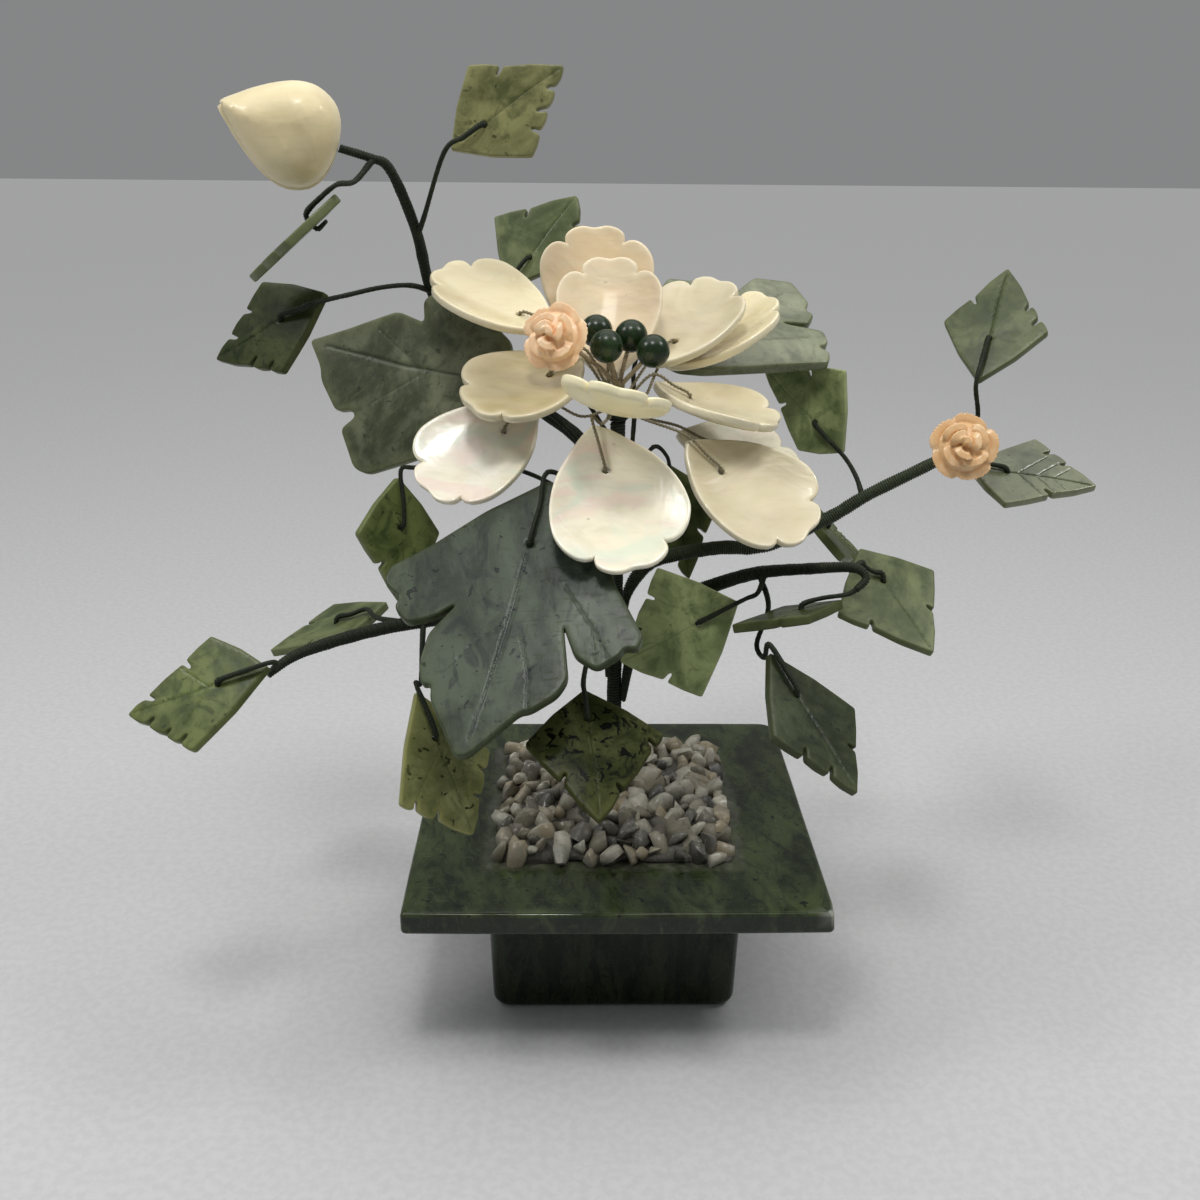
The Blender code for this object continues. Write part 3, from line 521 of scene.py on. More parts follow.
class Jade(Enum):
    """The jades that the photo shows, one for each leaf or pot part that looks alike."""

    OLIVE = JadeFinish("jade_olive", (0.105, 0.112, 0.040), (0.165, 0.165, 0.070), (0.030, 0.040, 0.012),
                       (0.21, 0.21, 0.10), 0.55, 0.5)
    GREEN = JadeFinish("jade_green", (0.058, 0.082, 0.022), (0.105, 0.130, 0.042), (0.014, 0.028, 0.008),
                       (0.15, 0.17, 0.07), 0.6, 0.5)
    LIGHT = JadeFinish("jade_light", (0.105, 0.140, 0.055), (0.165, 0.195, 0.088), (0.040, 0.068, 0.026),
                       (0.21, 0.24, 0.12), 0.5, 0.3)
    YELLOW = JadeFinish("jade_yellow", (0.105, 0.116, 0.042), (0.150, 0.156, 0.068), (0.030, 0.040, 0.012),
                        (0.21, 0.21, 0.07), 0.5, 0.8)
    SPOTTED = JadeFinish("jade_spotted", (0.062, 0.082, 0.022), (0.115, 0.130, 0.042), (0.006, 0.011, 0.004),
                         (0.18, 0.19, 0.07), 1.0, 1.7, roughness=0.5, clouds_per_mm=0.13, gloss=0.02)
    DARK = JadeFinish("jade_dark", (0.036, 0.050, 0.022), (0.066, 0.082, 0.040), (0.010, 0.018, 0.016),
                      (0.10, 0.12, 0.05), 0.6, 0.4)
    SLATE = JadeFinish("jade_slate", (0.060, 0.084, 0.056), (0.100, 0.132, 0.088), (0.016, 0.026, 0.030),
                       (0.12, 0.15, 0.06), 0.65, 0.6, roughness=0.34, scratches=1.0, grain=(1.6, 0.7, 1.0),
                       gloss=0.16)
    GREY = JadeFinish("jade_grey", (0.066, 0.076, 0.044), (0.108, 0.118, 0.074), (0.030, 0.038, 0.022),
                      (0.14, 0.16, 0.07), 0.5, 0.4, roughness=0.42, scratches=1.0)
    GLOSSY = JadeFinish("jade_glossy", (0.070, 0.085, 0.042), (0.110, 0.125, 0.068), (0.024, 0.034, 0.016),
                        (0.19, 0.20, 0.09), 0.5, 0.4, roughness=0.3, coat=0.1, gloss=0.6)
    PALE = JadeFinish("jade_pale", (0.150, 0.170, 0.100), (0.225, 0.245, 0.155), (0.070, 0.088, 0.045),
                      (0.16, 0.19, 0.08), 0.4, 0.2, roughness=0.26, scratches=1.0, coat=0.06, gloss=0.4)
    RIM = JadeFinish("jade_pot_rim", (0.020, 0.031, 0.013), (0.040, 0.055, 0.020), (0.005, 0.009, 0.006),
                     (0.05, 0.065, 0.028), 0.65, 0.6, roughness=0.16, scratches=0.8, grain=(2.1, 0.9, 2.0),
                     clouds_per_mm=0.07, coat=0.06, gloss=0.32, dust_from=22.6, seed=10)
    # Far darker than the slab: the body's own dark jade with painted shade from the slab above it.
    BODY = JadeFinish("jade_pot_body", (0.005, 0.009, 0.004), (0.013, 0.020, 0.008), (0.001, 0.002, 0.001),
                      (0.02, 0.03, 0.012), 0.8, 0.3, roughness=0.24, scratches=0.5, grain=(2.2, 2.2, 0.5),
                      clouds_per_mm=0.09, coat=0.05, gloss=0.2, seed=11)


class Shell(Enum):
    """The shell blanks that the petals and the bud were cut from."""

    CREAM = ShellFinish("shell_cream", (0.61, 0.54, 0.35), (0.50, 0.41, 0.23), 0.15, 0.3, 0.0, 0.3)
    YELLOW = ShellFinish("shell_yellow", (0.80, 0.70, 0.43), (0.66, 0.53, 0.27), 0.12, 0.28, 0.8)
    PEACH = ShellFinish("shell_peach", (0.74, 0.59, 0.37), (0.64, 0.46, 0.26), 0.2, 0.48, 1.6, 0.15)
    PEARL = ShellFinish("shell_pearl", (0.95, 0.89, 0.71), (0.70, 0.65, 0.48), 0.9, 0.24, 2.3, 0.3)
    # Greyer shell for the petal behind the right petals: painted shade.
    GREY = ShellFinish("shell_grey", (0.58, 0.54, 0.40), (0.42, 0.38, 0.26), 0.35, 0.28, 3.1)
    DULL = ShellFinish("shell_dull", (0.43, 0.36, 0.19), (0.33, 0.26, 0.12), 0.15, 0.34, 5.2, 0.25)
    # Paler shell for the front inner petal: its own pale tone, raised with painted light because that petal tilts away
    # from the lamps.
    BRIGHT = ShellFinish("shell_bright", (0.95, 0.85, 0.49), (0.86, 0.72, 0.38), 0.05, 0.4, 4.6, 0.12)
    BUD = ShellFinish("shell_bud", (0.74, 0.63, 0.37), (0.64, 0.52, 0.28), 0.06, 0.46, 4.0, 0.15)


PEBBLE_TONES = ((0.0, (0.028, 0.030, 0.030)), (0.14, (0.075, 0.074, 0.064)), (0.28, (0.18, 0.165, 0.12)),
                (0.45, (0.27, 0.25, 0.185)), (0.60, (0.40, 0.33, 0.21)), (0.78, (0.33, 0.325, 0.27)),
                (1.0, (0.60, 0.57, 0.47)))
GREEN_THREAD = ThreadFinish("thread_green", (0.009, 0.014, 0.006), (0.042, 0.056, 0.027))
FADED_THREAD = ThreadFinish("thread_faded", (0.026, 0.036, 0.018), (0.100, 0.125, 0.070))
BROWN_THREAD = ThreadFinish("thread_brown", (0.20, 0.17, 0.10), (0.40, 0.36, 0.25))
STRIPED_THREAD = ThreadFinish("thread_striped", (0.30, 0.24, 0.15), (0.55, 0.47, 0.33))
PINK_STONE = CarvedStoneFinish("stone_peach", (0.86, 0.57, 0.33), (0.91, 0.69, 0.45), (0.66, 0.34, 0.15))
PALE_STONE = CarvedStoneFinish("stone_cream", (0.74, 0.46, 0.22), (0.84, 0.60, 0.35), (0.52, 0.27, 0.10))
BEAD_STONE = BeadFinish("bead_stone", (0.008, 0.019, 0.006), (0.019, 0.042, 0.013), (0.03, 0.06, 0.025))
PEBBLES = PebbleFinish("pebbles", PEBBLE_TONES)
GLUE = GlueFinish("glue_bed", (0.060, 0.058, 0.046))
PLASTER = GlueFinish("plaster", (0.45, 0.43, 0.38))


# -------- geometry helpers


class Slot(Enum):
    """Material slots of the record."""

    POT = "pot_jade"
    PEBBLES = "pebbles"
    LEAF = "leaf_jade"
    PETAL = "petal_shell"
    GREEN_THREAD = "green_thread"
    BROWN_THREAD = "brown_thread"
    BEAD = "bead_jade"
    PINK = "pink_coral"
    PALE = "pale_coral"


def stand_for(name: str, mesh: Mesh, finish: Any, slot: Slot, *nodes: str) -> None:
    """Make a piece that rides on the ornament and stands for CAD nodes.

    Args:
        name: Name of the piece.
        mesh: Its finished mesh.
        finish: Its finish, or None where the mesh has its material.
        slot: Slot of the record; not used.
        *nodes: CAD nodes that it stands for.
    """
    piece = new_object(name, mesh, finish)
    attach(piece, ROOT)
    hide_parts(*nodes)
    log.info("%s: %d faces, stands for %s", name, len(mesh.polygons), ", ".join(nodes))


def new_object(name: str, data: Any, finish: Any = None) -> Object:
    """Link a mesh, a light or a camera into the scene.

    Args:
        name: Name of the object.
        data: Its mesh, light or camera.
        finish: Finish of a mesh, or None.

    Returns:
        The object.
    """
    result = bpy.data.objects.new(name, data)
    bpy.context.scene.collection.objects.link(result)
    if finish:
        data.materials.clear()
        data.materials.append(dressed_in(finish))
    return result


def mesh_in_place(name: str, bm: BMesh, matrix: Matrix | None = None, sharp: float = 40) -> Mesh:
    """Turn a millimetre bmesh into a metre mesh at its place, smooth but for edges above an angle.

    Args:
        name: Mesh name.
        bm: Mesh in millimetres; it is freed.
        matrix: Place in millimetres, or None where the mesh is already there.
        sharp: Angle in degrees above which an edge stays crisp.

    Returns:
        The mesh in metres.
    """
    if matrix:
        bm.transform(matrix)
    bmesh.ops.recalc_face_normals(bm, faces=bm.faces)
    bmesh.ops.scale(bm, vec=(MM, MM, MM), verts=bm.verts)
    mesh = bpy.data.meshes.new(name)
    bm.to_mesh(mesh)
    bm.free()
    mesh.shade_smooth()
    mesh.set_sharp_from_angle(angle=radians(sharp))
    return mesh


def plain_mesh(source: Object) -> Mesh:
    """Take the mesh that an object's modifiers make, and remove the object with them.

    Args:
        source: Object with live modifiers.

    Returns:
        The plain mesh.
    """
    bpy.context.view_layer.update()
    graph = bpy.context.evaluated_depsgraph_get()
    mesh = bpy.data.meshes.new_from_object(source.evaluated_get(graph))
    bpy.data.objects.remove(source, do_unlink=True)
    return mesh


def bridge(bm: BMesh, rings: Sequence[Sequence[BMVert]]) -> None:
    """Join rings of points with faces, each ring to the next.

    Args:
        bm: Mesh that holds the rings.
        rings: Rings of as many points each.
    """
    for lower, upper in zip(rings, rings[1:]):
        for i in range(len(lower)):
            bm.faces.new((lower[i - 1], lower[i], upper[i], upper[i - 1]))


def frame_at(at: Point3, aim: Point3) -> Matrix:
    """Matrix of a piece whose hole is at a point and whose tip has a heading, a climb and a roll."""
    heading, climb, roll = (radians(angle) for angle in aim)
    return Matrix.Translation(at) @ Euler((roll, -climb, heading), "XYZ").to_matrix().to_4x4()


def quarter(steps: int) -> list[float]:
    """Angles in radians from 0 to a quarter turn."""
    return [step / steps * pi / 2 for step in range(steps + 1)]


def on_circle(radius: float, angle: float) -> Point:
    """Point of a circle round the origin."""
    return radius * cos(angle), radius * sin(angle)


def smooth_path(points: Iterable[Sequence[float]], steps: int) -> list[Vector]:
    """Smooth curve that passes through a route's own points.

    Args:
        points: The route.
        steps: Points of the curve for each stretch of the route.

    Returns:
        Points of the curve.
    """
    route = [Vector(point) for point in points]
    ends = [route[0] * 2 - route[1], *route, route[-1] * 2 - route[-2]]
    result = []
    for i in range(1, len(ends) - 2):
        before, start, finish, after = ends[i - 1:i + 3]
        for step in range(steps):
            t = step / steps
            bend = (before * 2 - start * 5 + finish * 4 - after) * t * t
            swing = (start * 3 - before - finish * 3 + after) * t * t * t
            result.append((start * 2 + (finish - before) * t + bend + swing) / 2)
    result.append(route[-1])
    return result


def bent(points: Sequence[Point], steps: int) -> list[Point]:
    """Smooth flat curve through outline points."""
    return [(p.x, p.y) for p in smooth_path([(x, y, 0) for x, y in points], steps)]


def mirrored(half: list[Point], length: float, width: float, foot: float = 0.0) -> list[Point]:
    """Whole outline from its right half, which runs from foot to tip in shares of its length and width."""
    right = [(x * length - foot, y * width) for x, y in half]
    return right + [(x, -y) for x, y in reversed(right[1:-1])]


def evenly(values: Sequence[float], count: int) -> list[float]:
    """Read a short list of values at evenly spaced places."""
    return list(np.interp(np.linspace(0, len(values) - 1, count), range(len(values)), values))


def soften(points: Sequence[Point], radius: float, steps: int = 3) -> list[Point]:
    """Round the corners of a closed outline.

    Args:
        points: Corners in order.
        radius: Longest distance from a corner at which its rounding starts.
        steps: Points of each rounding.

    Returns:
        The rounded outline.
    """
    result: list[Point] = []
    count = len(points)
    for i in range(count):
        corner = Vector(points[i])
        before = Vector(points[i - 1]) - corner
        after = Vector(points[(i + 1) % count]) - corner
        start = corner + before.normalized() * min(radius, before.length * 0.45)
        end = corner + after.normalized() * min(radius, after.length * 0.45)
        for step in range(steps + 1):
            t = step / steps
            point = start * (1 - t) ** 2 + corner * 2 * t * (1 - t) + end * t * t
            result.append((point.x, point.y))
    return result


@dataclass(frozen=True)
class Placed:
    """Piece with a drilled hole at its origin and its tip along its own +X."""

    name: str
    at: Point3
    aim: Point3

    def matrix(self) -> Matrix:
        """Place of the piece in millimetres."""
        return frame_at(self.at, self.aim)

    def lay(self, path: Iterable[Point3]) -> list[Vector]:
        """Points of the piece's own frame, as they lie on the ornament."""
        matrix = self.matrix()
        return [matrix @ Vector(point) for point in path]


# -------- carved plates


@dataclass(frozen=True)
class Groove:
    """Engraved line on a plate's face."""

    line: tuple[Point, ...]
    width: float
    depth: float


@dataclass
class CarvedPlate:
    """Plate cut from an outline, drilled at its origin, with rounded edges and engraved lines.

    The front edge is rounded over edge_in and edge_down, the back edge over back_in and back_down. Rise gives the
    height of the middle of the plate at flat points, and wobble how far its faces waver.
    """

    outline: list[Point]
    thickness: float
    hole_radius: float
    edge_in: float
    edge_down: float
    back_in: float
    back_down: float
    grooves: tuple[Groove, ...]
    spacing: float
    rise: Callable[[np.ndarray], np.ndarray] | None = None
    wobble: float = 0.08
    # Width over which the painted edge light fades in from the outline.
    rim_width: float = 0.9
    hole_sides: int = 20

    def _border(self) -> np.ndarray:
        """Outline with points no further apart than the spacing.

        Returns:
            Points of the outline.
        """
        points = []
        for i, start in enumerate(self.outline):
            end = self.outline[(i + 1) % len(self.outline)]
            length = sqrt((end[0] - start[0]) ** 2 + (end[1] - start[1]) ** 2)
            parts = max(1, int(length / self.spacing + 0.5))
            for part in range(parts):
                share = part / parts
                points.append((start[0] + (end[0] - start[0]) * share, start[1] + (end[1] - start[1]) * share))
        return np.array(points)

    @staticmethod
    def _distance(points: np.ndarray, starts: np.ndarray, ends: np.ndarray) -> np.ndarray:
        """Distance from each point to the nearest of some segments.

        Args:
            points: Flat points.
            starts: Start of each segment.
            ends: End of each segment.

        Returns:
            One distance for each point.
        """
        run = ends - starts
        length = np.maximum((run ** 2).sum(1), 1e-12)
        away = points[:, None, :] - starts[None]
        share = np.clip((away * run[None]).sum(2) / length[None], 0, 1)
        return np.sqrt(((away - share[..., None] * run[None]) ** 2).sum(2)).min(1)

    @staticmethod
    def _inside(points: np.ndarray, ring: np.ndarray) -> np.ndarray:
        """Find the points that lie inside a closed ring.

        Args:
            points: Flat points.
            ring: Points of the ring.

        Returns:
            True for each point inside.
        """
        x, y = points[:, 0][:, None], points[:, 1][:, None]
        ax, ay = ring[:, 0][None], ring[:, 1][None]
        bx, by = np.roll(ring[:, 0], -1)[None], np.roll(ring[:, 1], -1)[None]
        crosses = (ay > y) != (by > y)
        with np.errstate(divide="ignore", invalid="ignore"):
            at = ax + (y - ay) * (bx - ax) / (by - ay)
        return (crosses & (x < at)).sum(1) % 2 == 1

    def _rounding_rows(self, border: np.ndarray, ends: np.ndarray) -> list[np.ndarray]:
        """Rows of points along the outline, where its edge is rounded.

        Args:
            border: Points of the outline.
            ends: The same points, each moved on by one.

        Returns:
            The rows, from the outermost.
        """
        tangent = ends - np.roll(border, 1, axis=0)
        normal = np.stack([-tangent[:, 1], tangent[:, 0]], 1)
        normal /= np.maximum(np.linalg.norm(normal, axis=1), 1e-9)[:, None]
        area = (border[:, 0] * ends[:, 1] - ends[:, 0] * border[:, 1]).sum()
        normal *= 1 if area > 0 else -1
        rows = []
        for angle in (28, 50, 70, 90):
            step = self.edge_in * (1 - cos(radians(angle)))
            row = border + normal * step
            rows.append(row[self._inside(row, border) & (self._distance(row, border, ends) > step * 0.8)])
        return rows

    def _inner_points(self, border: np.ndarray) -> np.ndarray:
        """Even grid over the plate, with more points along its grooves.

        Args:
            border: Points of the outline.

        Returns:
            Points, some of them outside the outline.
        """
        low, high = border.min(0), border.max(0)
        rows = []
        for j, y in enumerate(np.arange(low[1], high[1], self.spacing * 0.87)):
            for x in np.arange(low[0] + (j % 2) * self.spacing / 2, high[0], self.spacing):
                rows.append((x, y))
        for groove in self.grooves:
            line = np.array(groove.line)
            for a, b in zip(line, line[1:]):
                length = max(np.linalg.norm(b - a), 1e-9)
                run = (b - a) / length
                side = np.array([-run[1], run[0]]) * groove.width
                for share in np.arange(0, 1.0001, self.spacing * 0.7 / length):
                    rows += [tuple(a + (b - a) * share + side * offset) for offset in (-0.55, 0.0, 0.55)]
        return np.array(rows)

    def _fill(self, border: np.ndarray, hole: np.ndarray) -> tuple[np.ndarray, list[list[int]]]:
        """Fill the outline with triangles, dense near its edge.

        Args:
            border: Points of the outline.
            hole: Points of the drilled hole, or none.

        Returns:
            The flat points and the triangles between them.
        """
        ends = np.roll(border, -1, axis=0)
        grid = self._inner_points(border)
        keep = self._inside(grid, border) & (self._distance(grid, border, ends) > self.edge_in + self.spacing * 0.35)
        inner = np.concatenate([*self._rounding_rows(border, ends), grid[keep]])
        if len(hole):
            inner = inner[np.linalg.norm(inner, axis=1) > self.hole_radius + self.spacing * 0.45]
            inner = np.concatenate([inner, hole * (1 + 0.16 / self.hole_radius)])
        edges, base = [], 0
        for ring in (border, hole):
            edges += [(base + i, base + (i + 1) % len(ring)) for i in range(len(ring))]
            base += len(ring)
        points = np.concatenate([border, hole, inner])
        found = geometry.delaunay_2d_cdt([Vector(p) for p in points], edges, [], 1, 1e-5)
        flat = np.array([(v.x, v.y) for v in found[0]])
        faces = [list(face) for face in found[2]]
        if len(hole):
            faces = [face for face in faces if np.linalg.norm(flat[face].mean(0)) >= self.hole_radius * 0.98]
        return flat, faces

    @staticmethod
    def _drop(away: np.ndarray, inward: float, down: float) -> np.ndarray:
        """Depth of the rounded edge at each distance from the outline."""
        share = np.clip(1 - away / max(inward, 1e-6), 0, 1)
        return down * (1 - np.sqrt(np.maximum(1 - share ** 2, 0)))

    def build(self, name: str, matrix: Matrix, seed: float) -> Mesh:
        """Make the plate at its place.

        Args:
            name: Mesh name.
            matrix: Place in millimetres.
            seed: Shifts the slight waviness of the faces.

        Returns:
            Closed mesh in metres, with the masks of its painted edge light and of the painted shade in its grooves
            stored at its points.
        """
        border = self._border()
        turns = np.linspace(0, 2 * pi, self.hole_sides if self.hole_radius else 0, endpoint=False)
        hole = np.stack([np.cos(turns), np.sin(turns)], 1) * self.hole_radius
        flat, faces = self._fill(border, hole)
        away = self._distance(flat, border, np.roll(border, -1, axis=0))
        carved, depth, lip = np.zeros(len(flat)), np.zeros(len(flat)), np.zeros(len(flat))
        if self.hole_radius:
            lip = self._drop(np.abs(np.linalg.norm(flat, axis=1) - self.hole_radius), 0.2, 0.14)
        for groove in self.grooves:
            line = np.array(groove.line)
            share = np.clip(1 - self._distance(flat, line[:-1], line[1:]) / (groove.width * 0.6), 0, 1)
            share = share * share * (3 - 2 * share)
            depth = np.maximum(depth, share * groove.depth)
            # Grooves are marked for painted shade, darkest in the deepest ones.
            carved = np.maximum(carved, share * min(1.0, groove.depth / 0.2))
        lift = self.rise(flat) if self.rise else np.zeros(len(flat))
        waves = np.array([noise.noise(Vector((x * 0.09 + seed, y * 0.09, seed))) for x, y in flat]) * self.wobble
        top = lift + waves - self._drop(away, self.edge_in, self.edge_down) - depth - lip
        back = lift - waves - self.thickness + self._drop(away, self.back_in, self.back_down) + lip
        bm = bmesh.new()
        rim = bm.verts.layers.float.new("rim")
        cut = bm.verts.layers.float.new("cut")
        upper, lower = ([bm.verts.new((x, y, z)) for (x, y), z in zip(flat, side)] for side in (top, back))
        # Painted edge light: paler colour near the outline, fading inward.
        glow = np.exp(-away / self.rim_width)
        for i, (high, low) in enumerate(zip(upper, lower)):
            high[rim] = low[rim] = float(glow[i])
            high[cut] = float(carved[i])
        for face in faces:
            bm.faces.new([upper[i] for i in face])
            bm.faces.new([lower[i] for i in reversed(face)])
        pair = dict(zip(upper, lower))
        for edge in [edge for edge in bm.edges if edge.is_boundary]:
            a, b = edge.verts
            if a in pair and b in pair:
                bm.faces.new((a, b, pair[b], pair[a]))
        loose = [vert for vert in bm.verts if not vert.link_faces]
        bmesh.ops.delete(bm, geom=loose, context="VERTS")
        return mesh_in_place(name, bm, matrix, sharp=55)


# -------- thread-wrapped wire


class GrownTree(Graph):
    """Geometry Nodes tree with named inputs, which ends in real geometry with its finish."""

    def __init__(self, name: str, **sockets: Any) -> None:
        """Make the inputs and lay out the nodes.

        Args:
            name: Name of the tree.
            **sockets: First value of each input, with underscores for spaces; a string is a kind of socket.
        """
        super().__init__(bpy.data.node_groups.new(name, "GeometryNodeTree"))
        self.inputs: dict[str, str] = {}
        kinds = {int: "Int", float: "Float"}
        for label, value in {"Geometry": "Geometry", **sockets, "Finish": "Material"}.items():
            kind = "NodeSocket" + (value if isinstance(value, str) else kinds[type(value)])
            item = self.tree.interface.new_socket(label.replace("_", " "), in_out="INPUT", socket_type=kind)
            if not isinstance(value, str):
                item.default_value = value
            self.inputs[label] = item.identifier
        self.tree.interface.new_socket("Geometry", in_out="OUTPUT", socket_type="NodeSocketGeometry")
        outputs = self.tree.nodes.new("NodeGroupInput").outputs
        given = {label: Term(self, outputs[label.replace("_", " ")]) for label in self.inputs}
        real = self.node("GeometryNodeRealizeInstances", {}, {"Geometry": self.lay_out(given)})
        shown = self.node("GeometryNodeSetMaterial", {}, {"Geometry": real, "Material": given["Finish"]})
        self.feed(self.tree.nodes.new("NodeGroupOutput").inputs[0], shown)

    def lay_out(self, given: dict[str, Term]) -> Term:
        """Lay out the nodes between the inputs and Realize Instances."""
        raise NotImplementedError

    def grow(self, ground: Object, finish: Any, **values: Any) -> Mesh:
        """Run the tree on an object, which is removed.

        Args:
            ground: Object that the tree starts from.
            finish: Finish of the result.
            **values: Value of each input, with underscores for spaces.

        Returns:
            The plain mesh.
        """
        modifier = ground.modifiers.new(self.tree.name, "NODES")
        modifier.node_group = self.tree
        for label, value in (values | {"Finish": dressed_in(finish)}).items():
            modifier[self.inputs[label]] = value
        return plain_mesh(ground)


class WindingTree(GrownTree):
    """Tree that winds thread round every wire of a mesh of poly-lines, which carries its radius in "girth".

    Each wire gets a core and one strand that runs round it as a helix.
    """

    def __init__(self) -> None:
        """Build the tree."""
        super().__init__("Thread winding", Pitch=0.6 * MM, Thread_radius=0.3 * MM, Sides=5, Points_a_turn=10,
                         Core_share=0.8)

    def lay_out(self, given: dict[str, Term]) -> Term:
        """Lay out the nodes.

        Args:
            given: Inputs of the tree.

        Returns:
            Cores and strands.
        """
        pitch, around, thread = given["Pitch"], given["Points_a_turn"], given["Thread_radius"]
        girth = self.node("GeometryNodeInputNamedAttribute", {"data_type": "FLOAT"}, {"Name": "girth"})
        curve = self.node("GeometryNodeMeshToCurve", {}, {"Mesh": given["Geometry"]})
        angle = self.node("GeometryNodeInputIndex", {}, {}) / around * (2 * pi)
        normal = self.node("GeometryNodeInputNormal", {}, {})
        tangent = self.node("GeometryNodeInputTangent", {}, {})
        side = self._vector("CROSS_PRODUCT", {0: tangent, 1: normal})
        across = self._vector("SCALE", {0: normal, "Scale": angle.maths("COSINE", angle)})
        along = self._vector("SCALE", {0: side, "Scale": angle.maths("SINE", angle)})
        outward = self._vector("SCALE", {0: self._vector("ADD", {0: across, 1: along}), "Scale": girth - thread})
        helix = self.node("GeometryNodeSetPosition", {},
                          {"Geometry": self._evenly(curve, pitch / around), "Offset": outward})
        strand = self._swept(helix, {"Resolution": given["Sides"], "Radius": thread}, 1.0)
        core = self._swept(self._evenly(curve, pitch * 1.5), {"Resolution": 8, "Radius": 1.0},
                           girth * given["Core_share"])
        both = self.node("GeometryNodeJoinGeometry", {}, {0: strand})
        self.feed(both.socket.node.inputs[0], core)
        return self.node("GeometryNodeSetShadeSmooth", {}, {"Geometry": both})

    def _vector(self, operation: str, inputs: dict[Any, Term]) -> Term:
        """Add a Vector Math node."""
        return self.node("ShaderNodeVectorMath", {"operation": operation}, inputs)

    def _evenly(self, curve: Term, step: Term) -> Term:
        """Put points on a curve, a step apart."""
        return self.node("GeometryNodeResampleCurve", {"mode": "LENGTH"}, {"Curve": curve, "Length": step})

    def _swept(self, curve: Term, circle: dict[str, Any], scale: Term | float) -> Term:
        """Sweep a circle along a curve and close its ends."""
        ring = self.node("GeometryNodeCurvePrimitiveCircle", {}, circle)
        return self.node("GeometryNodeCurveToMesh", {}, {"Curve": curve, "Profile Curve": ring, "Scale": scale,
                                                         "Fill Caps": True})


@dataclass
class Wire:
    """One run of wire: its smooth path and its outer radius from end to end."""

    route: list[Sequence[float]]
    radii: tuple[float, ...]
    steps: int = 8


@dataclass(frozen=True)
class Gauge:
    """How thread is wound: its pitch, its radius and the share of the wire's radius that the core fills."""

    pitch: float
    thread: float
    core_share: float = 0.8
    points_a_turn: int = 10
    sides: int = 5

    def wind(self, tree: WindingTree, name: str, wires: list[Wire], finish: ThreadFinish, slot: Slot,
             node: str) -> None:
        """Wind every thread-wrapped wire of one piece and let it stand for its CAD node.

        Args:
            tree: The winding tree.
            name: Name of the piece.
            wires: Its wires.
            finish: Finish of the thread.
            slot: Slot of the record.
            node: CAD node.
        """
        mesh = bpy.data.meshes.new(name + "_lines")
        points: list[Vector] = []
        edges: list[tuple[int, int]] = []
        girths: list[float] = []
        for wire in wires:
            path = smooth_path(wire.route, wire.steps)
            base = len(points)
            points += path
            edges += [(base + i, base + i + 1) for i in range(len(path) - 1)]
            wear = [1 + 0.10 * noise.noise(point * 0.8) for point in path]
            girths += [girth * share for girth, share in zip(evenly(wire.radii, len(path)), wear)]
        mesh.from_pydata([point * MM for point in points], edges, [])
        layer = mesh.attributes.new("girth", "FLOAT", "POINT")
        layer.data.foreach_set("value", [girth * MM for girth in girths])
        wound = tree.grow(new_object(mesh.name, mesh), finish, Pitch=self.pitch * MM, Thread_radius=self.thread * MM,
                          Sides=self.sides, Points_a_turn=self.points_a_turn, Core_share=self.core_share)
        stand_for(name, wound, None, slot, node)


TRUNK_WINDING = Gauge(0.58, 0.26, 0.84)
BRANCH_WINDING = Gauge(0.46, 0.22, 0.86)
TWIG_WINDING = Gauge(0.36, 0.12, 0.86, 8, 4)
COLLAR_WINDING = Gauge(0.5, 0.26)
PETAL_WIRE_TWIST = Gauge(0.7, 0.13, 0.7, 8, 5)
STEM_WINDING = Gauge(0.42, 0.16, 0.75, 8, 5)


# -------- leaves


@dataclass(frozen=True)
class Leaf(Placed):
    """Leaf of carved jade, of any shape."""

    def wire_end(self, side: Point | None = None) -> list[Vector]:
        """Last points of the leaf's wire: round its foot or in from a side, over its face and down its hole.

        Args:
            side: Point of the leaf's own frame that the wire comes in over, or None for its foot.

        Returns:
            Points on the ornament.
        """
        below = -self.thickness
        start = (-self.foot - 1.2, 0, 0.7) if side is None else (*side, 1.3)
        return self.lay((start, (start[0] / 2, start[1] / 2, 1.0), (-1.1, 0, 0.9), (-0.05, 0, 0.2),
                         (0, 0, below - 0.3), (-0.6, 0.1, below - 0.65), (-2.6, 0.5, below - 0.6)))


